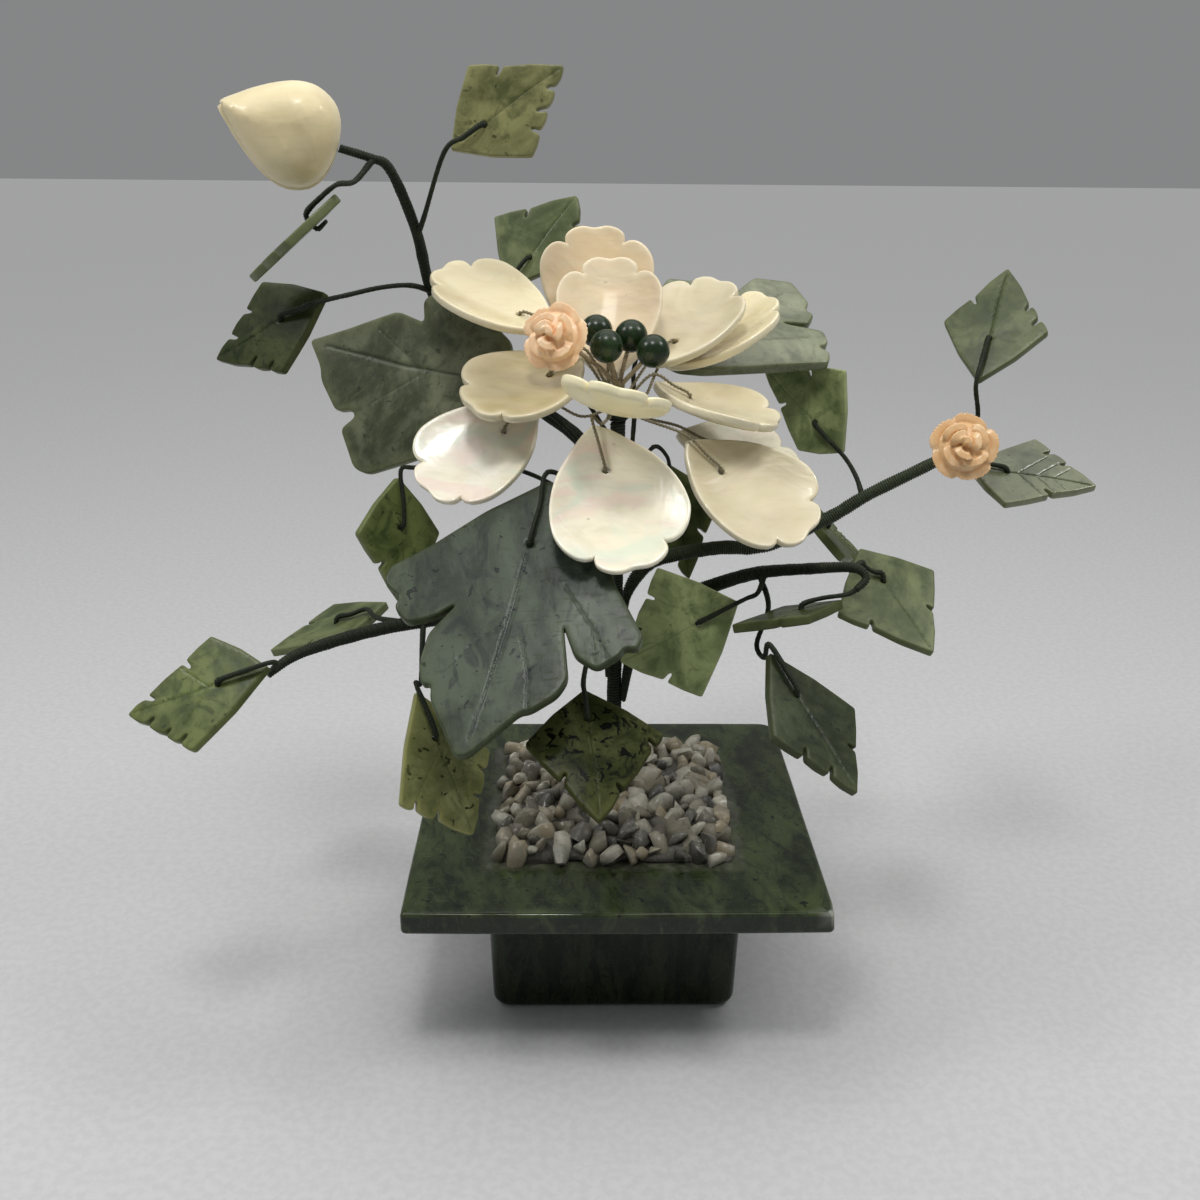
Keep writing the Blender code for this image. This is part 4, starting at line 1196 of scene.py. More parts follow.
@dataclass(frozen=True)
class SmallLeaf(Leaf):
    """Kite-shaped leaf round its drilled hole, its tip along +X and its left corner along +Y."""

    foot: float
    left: Point
    tip: float
    right: Point
    left_cuts: tuple[float, ...]
    right_cuts: tuple[float, ...]
    jade: Jade
    shade: float = 1.0
    veins: int = 0
    midrib: float = 0.10
    thickness: float = 1.6
    hole: float = 0.52

    def outline(self) -> list[Point]:
        """Draw the kite, with saw cuts along the two edges that meet at the tip.

        Returns:
            The closed outline.
        """
        rng = Random(self.name)
        foot, tip = Vector((-self.foot, 0)), Vector((self.tip, 0))
        left, right = Vector(self.left), Vector(self.right)
        points = [foot, self._swell(right, foot), right]
        points += self._cuts(right, tip, self.right_cuts, rng)
        points += [tip]
        points += reversed(self._cuts(left, tip, self.left_cuts, rng))
        points += [left, self._swell(left, foot)]
        return soften([(p[0], p[1]) for p in points], 0.5)

    @staticmethod
    def _swell(corner: Vector, foot: Vector) -> Vector:
        """Middle of an inner edge, pushed out a little."""
        return (foot + corner) / 2 + Vector((-0.25, 0.45 if corner.y > 0 else -0.45))

    @staticmethod
    def _cuts(corner: Vector, tip: Vector, shares: Sequence[float], rng: Random) -> list[Vector]:
        """Saw one edge: a narrow slot at each share, with the teeth between them bowed out.

        Args:
            corner: Side corner of the leaf, where the edge starts.
            tip: Tip of the leaf.
            shares: Place of each slot, as a share of the edge.
            rng: Source of small differences.

        Returns:
            Points from the corner to the tip, without either.
        """
        run = (tip - corner).normalized()
        inward = Vector((-run.y, run.x))
        if inward.dot(-corner) < 0:
            inward = -inward
        length = (tip - corner).length
        result: list[Vector] = []
        last = 0.0
        for share in shares:
            bow = corner + run * length * (last + share) / 2 - inward * 0.18
            middle = corner + run * length * share
            width, depth = 0.34 + rng.random() * 0.12, 1.5 + rng.random() * 0.6
            lean = inward - run * (rng.random() * 0.5)
            result += [bow, middle - run * width, middle - run * width * 0.8 + lean * depth * 0.8,
                       middle + lean * depth, middle + run * width * 0.8 + lean * depth * 0.8,
                       middle + run * width + inward * 0.15]
            last = share
        result.append(corner + run * length * (last + 1) / 2 - inward * 0.25)
        return result

    def grooves(self) -> tuple[Groove, ...]:
        """Engrave the midrib from the hole to the tip and some fine side veins.

        Returns:
            The lines.
        """
        rng = Random(self.name + "veins")
        lines = [Groove(((-self.foot * 0.7, 0.1), (0, 0), (self.tip * 0.5, 0.15), (self.tip * 0.93, 0)), 0.34,
                        self.midrib)]
        for i in range(self.veins):
            start = self.tip * (0.1 + 0.62 * i / max(self.veins, 1)) + rng.random()
            for side, corner in ((1, self.left), (-1, self.right)):
                reach = abs(corner[1]) * (0.5 + 0.22 * rng.random()) * (1 - i / (self.veins + 1.5))
                lines.append(Groove(((start, 0.3 * side), (start + reach * 0.85, reach * side)),
                                    0.18 + 0.6 * self.midrib, self.midrib * 0.6))
        return tuple(lines)

    def plate(self) -> CarvedPlate:
        """The leaf as a carved plate."""
        return CarvedPlate(self.outline(), self.thickness, self.hole, 0.32, 0.3, 0.32, 0.3, self.grooves(), 0.62,
                           wobble=0.14, rim_width=0.6)


@dataclass(frozen=True)
class LargeLeaf(Leaf):
    """Three-lobed leaf drawn corner by corner round its drilled hole."""

    corners: tuple[Point, ...]
    lines: tuple[Groove, ...]
    jade: Jade
    shade: float = 1.0
    thickness: float = 2.0
    hole: float = 0.58

    @property
    def foot(self) -> float:
        """Distance from the hole to the foot."""
        return -self.corners[0][0]

    def plate(self) -> CarvedPlate:
        """The leaf as a carved plate."""
        return CarvedPlate(soften(self.corners, 1.2, 4), self.thickness, self.hole, 0.45, 0.4, 0.45, 0.4, self.lines,
                           0.7, wobble=0.22)


SMALL_LEAVES = (
    SmallLeaf("leaf_01_bud_stem", (-23, 5, 158), (8, 35, 70), 7, (3.5, 9.5), 16.5, (3.5, -9),
              (0.35,), (0.27, 0.52, 0.75), Jade.OLIVE, 1.15),
    SmallLeaf("leaf_02_under_bud", (-51, -8, 143.3), (156, -37, -19), 7, (1, 8.5), 16, (1, -8.5),
              (0.3, 0.65), (0.4, 0.7), Jade.LIGHT, 0.8),
    SmallLeaf("leaf_03_left", (-58, -2, 126.5), (170, -30, -55), 9.5, (2.5, 9.5), 14.5, (1.5, -9),
              (0.2, 0.46), (0.38, 0.7), Jade.GREEN, 0.48),
    SmallLeaf("leaf_04_back_top", (-16.5, 31, 134), (20, 50, 45), 7.5, (2.5, 11.5), 15, (7, -8),
              (0.42,), (0.5,), Jade.LIGHT, 0.8),
    SmallLeaf("leaf_06_left_hanging", (-38.5, -5.5, 90.5), (278, -70, -35), 9, (1, 8.5), 14, (1, -9),
              (0.35, 0.7), (0.45,), Jade.GREEN, 1.2),
    SmallLeaf("leaf_08_low_back", (-53.5, 5.5, 68), (195, -19, 0), 10.5, (-1, 8.5), 13.5, (-0.5, -10.5),
              (0.5,), (0.45,), Jade.LIGHT, 0.75),
    SmallLeaf("leaf_09_low_left", (-66.5, -30, 71), (180, -20, -40), 9, (5.5, 10.5), 16.5, (0.5, -9.5),
              (0.2, 0.42, 0.7), (0.33, 0.78), Jade.GREEN, 1.0, 1),
    SmallLeaf("leaf_10_front_left", (-31, -30, 61), (315, -58, 10), 8.5, (5.5, 8.5), 17.5, (8, -10),
              (0.25, 0.55), (0.2, 0.5), Jade.YELLOW, 1.5, 1),
    SmallLeaf("leaf_11_front", (-5.5, -36, 67.5), (277, -37, 4), 5.5, (4, 12), 18, (3.5, -10.5),
              (0.15, 0.65), (0.5,), Jade.SPOTTED, 0.44),
    SmallLeaf("leaf_12_low_middle", (15, -6, 72.5), (190, -25, -64), 8.5, (5.5, 12.5), 16, (2, -12.5),
              (0.45,), (0.3, 0.65), Jade.LIGHT, 1.65),
    SmallLeaf("leaf_13_right_flat", (31.5, -18, 79.8), (187, -11, 15), 7.5, (1, 8.5), 12.5, (1, -8.5),
              (0.4,), (0.4,), Jade.GREEN, 0.55),
    SmallLeaf("leaf_14_right_hanging", (29.5, -30, 69), (310, -42, 0), 8.5, (6, 10.5), 19, (5, -9.5),
              (0.5,), (0.37, 0.68), Jade.DARK, 0.68),
    SmallLeaf("leaf_15_right", (48, -8, 81.5), (300, -33, 8), 8, (1, 11), 16.5, (3.5, -12),
              (0.5,), (0.35,), Jade.LIGHT, 0.7),
    SmallLeaf("leaf_16_behind_petals", (43, 20, 83), (30, -38, 28), 8, (1, 8.5), 15, (1, -8.5),
              (0.45,), (0.45,), Jade.GREEN, 1.0, 4, 0.3),
    SmallLeaf("leaf_17_behind_flower", (12, 17, 89), (290, -60, 20), 8, (1, 8.5), 15.5, (1, -8.5),
              (0.45,), (0.5, 0.75), Jade.GREEN),
    SmallLeaf("leaf_18_behind_right", (40.5, 28, 102.5), (140, 38, -79), 8.5, (-1.5, 6.5), 17, (3, -11.5),
              (0.5,), (0.42,), Jade.LIGHT, 1.5, 1),
    SmallLeaf("leaf_19_top_right", (68.5, 11.5, 122), (60, 52, 3), 9, (2.5, 9), 15, (2.5, -10),
              (0.45,), (0.2, 0.42), Jade.LIGHT, 0.62, 0, 0.14),
    SmallLeaf("leaf_20_far_right", (74, 9, 97.5), (347, -6, 27), 7, (5, 11), 16.5, (0, -9),
              (0.3, 0.55), (0.5,), Jade.GLOSSY, 1.0, 3, 0.26),
)

LARGE_LEAVES = (
    LargeLeaf(
        "leaf_05_left_large", (-28, 9, 115), (155, 7, -66),
        ((-10, 0), (-8, 7), (5, 17), (14, 22), (17, 21.5), (22, 15), (19.5, 12), (21, 11), (24, 12),
         (29, 7), (30, 4.5), (34, 0), (26, -4), (17, -9), (11, -8), (12.5, -12), (10, -14.5),
         (0, -12), (-7, -8)),
        (Groove(((-6, 0.2), (0, 0), (12, 0.6), (30, 0.2)), 0.8, 0.26),
         Groove(((9, 2), (17, 9)), 0.3, 0.06),
         Groove(((12, -1), (20, -5)), 0.3, 0.05)),
        Jade.GREY, 1.2),
    LargeLeaf(
        "leaf_07_front_large", (-15, -23, 93), (-108, -41, -7),
        ((-13, 0), (-10, 9), (-3, 13), (4, 15), (13, 22), (15.5, 21.5), (15.5, 19.5), (17, 19),
         (20, 16), (18.5, 12), (13.5, 9), (22.5, 12), (25.5, 11), (29, 7.5), (29.5, 6), (38, 0),
         (38.5, -2), (30, -8.5), (27.5, -9), (28, -10.5), (24.5, -12), (19, -12), (13, -9),
         (16, -12), (18, -16), (15.5, -19), (13.5, -18.5), (11.5, -22), (8.5, -22), (3, -16),
         (-5, -9)),
        (Groove(((0.5, -0.1), (14, 0.3), (26, 0), (35.5, -0.5)), 0.55, 0.15),
         Groove(((15.6, -0.8), (20, -4.5), (25.8, -7.8)), 0.32, 0.08),
         Groove(((17.4, 3.2), (23, 5.6), (29.4, 7.1)), 0.32, 0.08),
         Groove(((6.4, 7.4), (13.0, 13.6), (18.4, 17.9)), 0.34, 0.09),
         Groove(((13.0, 13.6), (19.5, 15.6)), 0.3, 0.06)),
        Jade.SLATE, 0.54),
    LargeLeaf(
        "leaf_21_right_large", (16.5, 24, 117), (8, -3, 25),
        ((-10, 0), (-5, -5), (0, -5.5), (26, -1.5), (27, 2), (25, 4), (27.5, 5), (27.5, 9.5),
         (20.5, 11.5), (19.5, 12.5), (25, 12), (27, 15.5), (25.5, 17.5), (27, 20), (25, 28),
         (17, 29), (11, 22), (7, 26), (-2, 27), (-6, 20), (-8, 10)),
        (Groove(((0, 0), (10, 5), (24, 7)), 0.6, 0.16),
         Groove(((4, 4), (14, 17), (22, 23)), 0.4, 0.12)),
        Jade.PALE, 0.85),
)

LEAVES: dict[str, SmallLeaf | LargeLeaf] = {leaf.name: leaf for leaf in (*SMALL_LEAVES, *LARGE_LEAVES)}


class LeafSet:
    """All the leaves, each a piece of its own."""

    def build(self) -> None:
        """Carve and place every leaf."""
        for index, leaf in enumerate(LEAVES.values()):
            name = leaf.name + "_carved"
            finish = replace(leaf.jade.value, name=leaf.name + "_jade", shade=leaf.shade, seed=3.0 + index)
            stand_for(name, leaf.plate().build(name, leaf.matrix(), index * 3.7), finish, Slot.LEAF, leaf.name)


# -------- stems


@dataclass
class Stems:
    """Trunk, branches and leaf wires, all wound with dark green thread."""

    trunk_wire: float = 1.5
    leaf_wire: float = 0.47

    def twig(self, leaf_name: str, fork: Sequence[Point3], side: Point | None = None) -> Wire:
        """Leaf wire from its fork on a branch to its leaf's hole.

        Args:
            leaf_name: The leaf.
            fork: First points of the wire.
            side: Point of the leaf's own frame that the wire comes in over, or None for its foot.

        Returns:
            The wire.
        """
        thick = self.leaf_wire
        return Wire([*fork, *LEAVES[leaf_name].wire_end(side)],
                    (thick + 0.15, thick, thick, thick + 0.1, thick, thick * 0.95, thick * 0.85))

    def branches(self) -> dict[str, tuple[Wire, list[Wire]]]:
        """Draw each branch with the leaf wires that fork from it.

        Returns:
            The branch and its leaf wires by CAD node.
        """
        return {
            "branch_bud": (
                Wire([(-1.0, 1.4, 86.5), (-2.1, 3.0, 97), (-7, 9, 103.5), (-16, 17, 108.5), (-26, 21.5, 116),
                      (-34.2, 22, 127.5), (-36, 13, 140), (-39, 5, 150.5), (-42, 3, 152.5), (-47, 3, 154)],
                     (0.6, 1.35, 1.4, 1.1, 0.9, 0.75)),
                [self.twig("leaf_01_bud_stem", [(-36, 13, 139), (-34.3, 10.5, 142.5)]),
                 self.twig("leaf_02_under_bud", [(-41.5, 3.2, 152.4), (-44, -2, 149)]),
                 self.twig("leaf_03_left", [(-34.3, 21.5, 128.5), (-38, 18, 130), (-42.5, 12, 130.3),
                                            (-47.5, 4.5, 129.8)], (-8.0, 2.0))]),
            "branch_low_left": (
                Wire([(-1.7, 0, 62.5), (-3.2, -0.3, 69.5), (-8, -2.5, 74), (-17.5, -6, 75), (-35, -12, 75),
                      (-45, -17, 74.6), (-54.2, -24, 73.8), (-58.7, -28, 71.7)],
                     (0.6, 1.25, 1.3, 1.3, 1.1, 0.75)),
                [self.twig("leaf_08_low_back", [(-37.6, -12.6, 75.1), (-43.5, -7.0, 73.8)], (-6.5, 3.2)),
                 self.twig("leaf_09_low_left", [(-57.6, -27, 72.2)]),
                 self.twig("leaf_10_front_left", [(-34.5, -12, 75), (-34.3, -17, 71.5), (-34, -23, 68)])]),
            "branch_rose": (
                Wire([(1.2, 1.2, 68.5), (2.4, 2.4, 75.5), (6, 3.5, 80.5), (11, 5, 82), (20, 8, 82.5),
                      (29, 9.5, 82.5), (41, 11, 87.5), (48, 11, 92), (57, 10.5, 97), (62.5, 10.8, 99.8),
                      (64, 7.2, 101.9)],
                     (0.6, 1.4, 1.4, 1.4, 1.3, 1.2, 0.8)),
                [self.twig("leaf_16_behind_petals", [(33, 10, 84), (35.5, 14, 86)]),
                 self.twig("leaf_18_behind_right", [(47.5, 11.1, 91.7), (47, 16, 94.5)]),
                 self.twig("leaf_19_top_right", [(59.6, 10.7, 98.3), (66.5, 12.5, 101.5), (68, 11.5, 107)]),
                 self.twig("leaf_20_far_right", [(61.4, 10.4, 99.4), (63.5, 10.8, 98.8)])]),
            "branch_low_right": (
                Wire([(1.6, -0.6, 54.5), (3.2, -0.4, 64), (7, 0.8, 71.5), (12, 1.5, 74.5), (18, 1.5, 77),
                      (25.5, -4, 81.5), (34, -10.5, 84.6), (41, -14, 86), (43, -15.5, 84.6),
                      (41.2, -16.8, 83)],
                     (0.7, 1.6, 1.5, 1.15, 0.95, 0.65)),
                [self.twig("leaf_12_low_middle", [(27, -5.5, 82.2), (25.5, -7.5, 79)]),
                 self.twig("leaf_13_right_flat", [(41.8, -16.4, 83.4)]),
                 self.twig("leaf_14_right_hanging", [(26, -4.2, 81.6), (27.5, -8, 76.5), (24.5, -16, 72.5),
                                                     (25, -22, 72.3)]),
                 self.twig("leaf_15_right", [(41.0, -13.9, 86.0), (43.0, -11.8, 86.3)], (-3.4, -2.6))]),
        }

    def single_wires(self) -> dict[str, list[Point3]]:
        """Draw the leaf wires that run up the trunk by themselves.

        Returns:
            First points of each wire by its leaf.
        """
        return {
            "leaf_04_back_top": [(0.3, 2.4, 92), (0.3, 2.8, 101), (-4, 10, 108), (-14, 20, 120)],
            "leaf_05_left_large": [(-2.3, 0.7, 88), (-2.8, 0.8, 98), (-8, 5, 105), (-14, 6.5, 110)],
            "leaf_06_left_hanging": [(-2.2, -0.9, 78), (-2.7, -1.1, 86), (-8, 1, 94), (-17.5, 4, 98.5),
                                     (-27, 3, 99.5), (-36, -1, 100.3)],
            "leaf_07_front_large": [(-0.5, -2.3, 78), (-0.7, -2.9, 86), (-3, -7, 95)],
            "leaf_11_front": [(-1.4, -1.9, 60), (-1.8, -2.6, 66), (-3.5, -10, 71), (-5, -21, 73)],
            "leaf_17_behind_flower": [(1.7, 1.9, 86), (2.2, 2.8, 92), (7, 17, 99.5)],
            "leaf_21_right_large": [(2.1, 1.2, 94), (2.6, 2.1, 102), (3.5, 11, 109), (3.5, 18, 114.5)],
        }

    def build(self, tree: WindingTree) -> None:
        """Wind the trunk, the branches and the single wires.

        Args:
            tree: The winding tree.
        """
        trunk = Wire([(0, 0, 20), (0.05, 0, 45), (-0.05, 0.05, 75), (0, 0, 108.5)], (self.trunk_wire,))
        TRUNK_WINDING.wind(tree, "trunk_wound", [trunk], GREEN_THREAD, Slot.GREEN_THREAD, "trunk")
        for name, (branch, twigs) in self.branches().items():
            thread = FADED_THREAD if name == "branch_rose" else GREEN_THREAD
            BRANCH_WINDING.wind(tree, name + "_wound", [branch], thread, Slot.GREEN_THREAD, name)
            TWIG_WINDING.wind(tree, name + "_twigs", twigs, GREEN_THREAD, Slot.GREEN_THREAD, name)
            log.info("%s carries %d leaf wires", name, len(twigs))
        for leaf_name, route in self.single_wires().items():
            wire = Wire([*route, *LEAVES[leaf_name].wire_end()], (self.leaf_wire,))
            node = "wire_" + leaf_name[:7]
            TWIG_WINDING.wind(tree, node + "_wound", [wire], GREEN_THREAD, Slot.GREEN_THREAD, node)


# -------- flower


@dataclass(frozen=True)
class Petal(Placed):
    """Cupped shell petal round its drilled hole, its scalloped tip along +X and its hollow face up."""

    length: float
    width: float
    shell: Shell
    via: tuple[Point3, ...] = ()
    foot_share: float = 0.30
    thickness: float = 1.75
    hole: float = 0.62
    cup_across: float = 44.0
    cup_along: float = 100.0

    def outline(self) -> list[Point]:
        """Draw a pointed foot, full sides and a tip of three scallops.

        Returns:
            The closed outline.
        """
        side = ((0.0, 0.0), (0.035, 0.075), (0.10, 0.17), (0.28, 0.36), (0.48, 0.47), (0.66, 0.50), (0.77, 0.465),
                (0.84, 0.40), (0.868, 0.335), (0.868, 0.28), (0.858, 0.255))
        lobe = ((0.858, 0.255), (0.875, 0.262), (0.925, 0.255), (0.97, 0.195), (0.992, 0.11), (0.985, 0.03),
                (0.982, 0.0))
        return mirrored(bent(side, 4)[:-1] + bent(lobe, 4), self.length, self.width, self.foot_share * self.length)

    def plate(self) -> CarvedPlate:
        """The petal as a cupped plate with thick rounded edges."""
        return CarvedPlate(self.outline(), self.thickness, self.hole, 0.62, 0.5, 0.75, 0.6, (), 0.62, self._cup, 0.1,
                           0.7)

    def _cup(self, flat: np.ndarray) -> np.ndarray:
        """Height of the cupped middle at flat points."""
        return flat[:, 1] ** 2 / self.cup_across + flat[:, 0] ** 2 / self.cup_along

    def wire_end(self) -> list[Vector]:
        """Last points of the petal's wire: over the hollow face from its foot, then down through the hole.

        Returns:
            Points on the ornament.
        """
        foot = self.foot_share * self.length
        rise = foot * foot / self.cup_along
        return self.lay(((-foot - 0.8, 0, rise + 0.85), (-foot / 2, 0, rise / 4 + 0.8), (-0.85, 0, 0.75),
                         (-0.05, 0, 0.1), (0, 0, -2.1), (-0.5, 0, -2.4), (-1.8, 0.2, -2.35)))


PETALS = (
    Petal("petal_01_left", (-17.5, 6.5, 126.5), (153, 16, -15), 25, 20, Shell.YELLOW),
    Petal("petal_02_back", (-3.2, 19.5, 124.2), (96, 58, -2), 25, 21.5, Shell.PEACH, ((-1.5, 7, 112.5),)),
    Petal("petal_03_back_inner", (-1.5, 8.5, 121), (88, 46, -2), 25, 19.5, Shell.PEACH),
    Petal("petal_04_right_back", (10.6, 12, 121), (47, 30, 9), 23.5, 19, Shell.CREAM),
    Petal("petal_05_right_outer", (15.5, 15.5, 119.2), (28, 22, 8), 25, 20, Shell.YELLOW, ((5, 5, 112),)),
    Petal("petal_06_left_inner", (-12, -2.5, 117.3), (210, -21, -20), 23.5, 20.5, Shell.DULL),
    Petal("petal_07_front_left", (-20, -5, 108), (206, -38, -30), 25, 21, Shell.PEARL, ((-7, -2, 110),)),
    Petal("petal_08_front_inner", (-1.5, -14, 114.6), (270, 11, -14), 25, 18, Shell.BRIGHT),
    Petal("petal_09_front", (-2.5, -16.5, 104), (291, -48, 18), 28.5, 23, Shell.PEARL, ((-3, -6, 109.5),)),
    Petal("petal_10_right_inner", (13, 2, 112.5), (347, -20, 4), 23.5, 20.5, Shell.CREAM),
    Petal("petal_11_right_front", (18, -7.5, 101.5), (338, -35, 34), 27, 21, Shell.CREAM, ((5, -2, 109.3),)),
    Petal("petal_12_right_back", (18, 6.5, 102.5), (10, -22, 20), 25, 21, Shell.GREY, ((5, 2, 108.8),)),
)


@dataclass(frozen=True)
class Rose(Placed):
    """Carved rose: overlapping petals round a rolled heart, its back at its origin, facing +X.

    Each round gives a count, an offset and the half width of its petals in radians, then the height of their root
    and lip, the distance of both from the axis and the curl of the lip, as shares of the rose.
    """

    node: str
    radius: float
    height: float
    slot: Slot
    finish: CarvedStoneFinish
    voxel: float = 0.16
    wall: float = 0.22
    rounds: tuple[tuple[float, ...], ...] = (
        (5, 0.0, 0.80, 0.04, 0.46, 0.35, 0.93, 0.13), (4, 0.63, 0.84, 0.2, 0.72, 0.30, 0.66, 0.08),
        (3, 0.2, 1.0, 0.34, 0.88, 0.20, 0.42, 0.05), (1, 0.9, 2.4, 0.45, 0.98, 0.09, 0.18, 0.01))

    def _petal(self, bm: BMesh, turn: float, spread: float, low: float, high: float, inner: float,
               outer: float, curl: float) -> None:
        """Add one thick cupped petal.

        Args:
            bm: Mesh that receives it.
            turn: Direction of the petal's middle, in radians.
            spread: Half of its width, in radians.
            low: Height of its root, as a share of the rose.
            high: Height of its lip.
            inner: Distance of its root from the axis, as a share of the radius.
            outer: Distance of its lip.
            curl: How far its lip rolls out, as a share of the radius.
        """
        across, along = 12, 9
        walls = []
        for shift in (0.0, -self.wall):
            grid = []
            for i in range(across + 1):
                u = i / across * 2 - 1
                row = []
                for j in range(along + 1):
                    v = j / along * (1 - 0.26 * u ** 4)
                    reach = inner + (outer - inner) * v ** 0.8 + curl * max(0, v - 0.72) ** 2 * 9
                    reach += shift + 0.07 * u
                    lift = low + (high - low) * v ** 1.35 - curl * max(0, v - 0.8) ** 2 * 5
                    angle = turn + u * spread * (0.62 + 0.38 * v)
                    row.append(bm.verts.new((lift * self.height, *on_circle(reach * self.radius, angle))))
                grid.append(row)
            walls.append(grid)
        outside, inside = walls
        for i in range(across):
            for j in range(along):
                bm.faces.new((outside[i][j], outside[i + 1][j], outside[i + 1][j + 1], outside[i][j + 1]))
                bm.faces.new((inside[i][j + 1], inside[i + 1][j + 1], inside[i + 1][j], inside[i][j]))
        for i in range(across):
            bm.faces.new((inside[i][0], inside[i + 1][0], outside[i + 1][0], outside[i][0]))
            bm.faces.new((outside[i][-1], outside[i + 1][-1], inside[i + 1][-1], inside[i][-1]))
        for j in range(along):
            bm.faces.new((outside[0][j], outside[0][j + 1], inside[0][j + 1], inside[0][j]))
            bm.faces.new((inside[-1][j], inside[-1][j + 1], outside[-1][j + 1], outside[-1][j]))

    def build(self) -> None:
        """Carve the rose as one solid and place it."""
        bm = bmesh.new()
        core = bmesh.ops.create_uvsphere(bm, u_segments=24, v_segments=14, radius=1.0)
        for vert in core["verts"]:
            x, y, z = vert.co
            vert.co = ((0.34 + 0.34 * x) * self.height, y * self.radius * 0.72, z * self.radius * 0.72)
        rng = Random(self.name)
        for count, offset, spread, low, high, *reaches in self.rounds:
            for i in range(count):
                turn = offset + i * 2 * pi / count + rng.uniform(-0.08, 0.08)
                self._petal(bm, turn, spread, low, high + rng.uniform(-0.02, 0.02), *reaches)
        bmesh.ops.recalc_face_normals(bm, faces=bm.faces)
        rough = new_object(self.name, mesh_in_place(self.name, bm, self.matrix()))
        remesh = rough.modifiers.new("Remesh", "REMESH")
        remesh.mode = "VOXEL"
        remesh.voxel_size = self.voxel * MM
        smooth = rough.modifiers.new("Smooth", "SMOOTH")
        smooth.factor, smooth.iterations = 0.5, 8
        mesh = plain_mesh(rough)
        self._mark_creases(mesh)
        mesh.shade_smooth()
        stand_for(self.name, mesh, self.finish, self.slot, self.node)

    @staticmethod
    def _mark_creases(mesh: Mesh) -> None:
        """Store how deep each point lies in a crease, from its neighbours' places along its normal, for the painted
        shade of the finish.

        Args:
            mesh: Mesh that gets "cut", the mask of its painted crease shade, at its points.
        """
        count = len(mesh.vertices)
        co, normals, ends = np.zeros((count, 3)), np.zeros((count, 3)), np.zeros((len(mesh.edges), 2), dtype=np.int64)
        mesh.vertices.foreach_get("co", co.ravel())
        mesh.vertex_normals.foreach_get("vector", normals.ravel())
        mesh.edges.foreach_get("vertices", ends.ravel())
        ways = ((ends[:, 0], ends[:, 1]), (ends[:, 1], ends[:, 0]))
        value, around = np.zeros(count), np.zeros(count)
        for near, far in ways:
            np.add.at(value, near, ((co[far] - co[near]) * normals[near]).sum(1))
            np.add.at(around, near, 1)
        around = np.maximum(around, 1)
        value /= around
        for _ in range(4):
            spread = np.zeros(count)
            for near, far in ways:
                np.add.at(spread, near, value[far])
            value = 0.4 * value + 0.6 * spread / around
        layer = mesh.attributes.new("cut", "FLOAT", "POINT")
        layer.data.foreach_set("value", np.clip(value / (0.018 * MM), 0, 1).astype(np.float32))


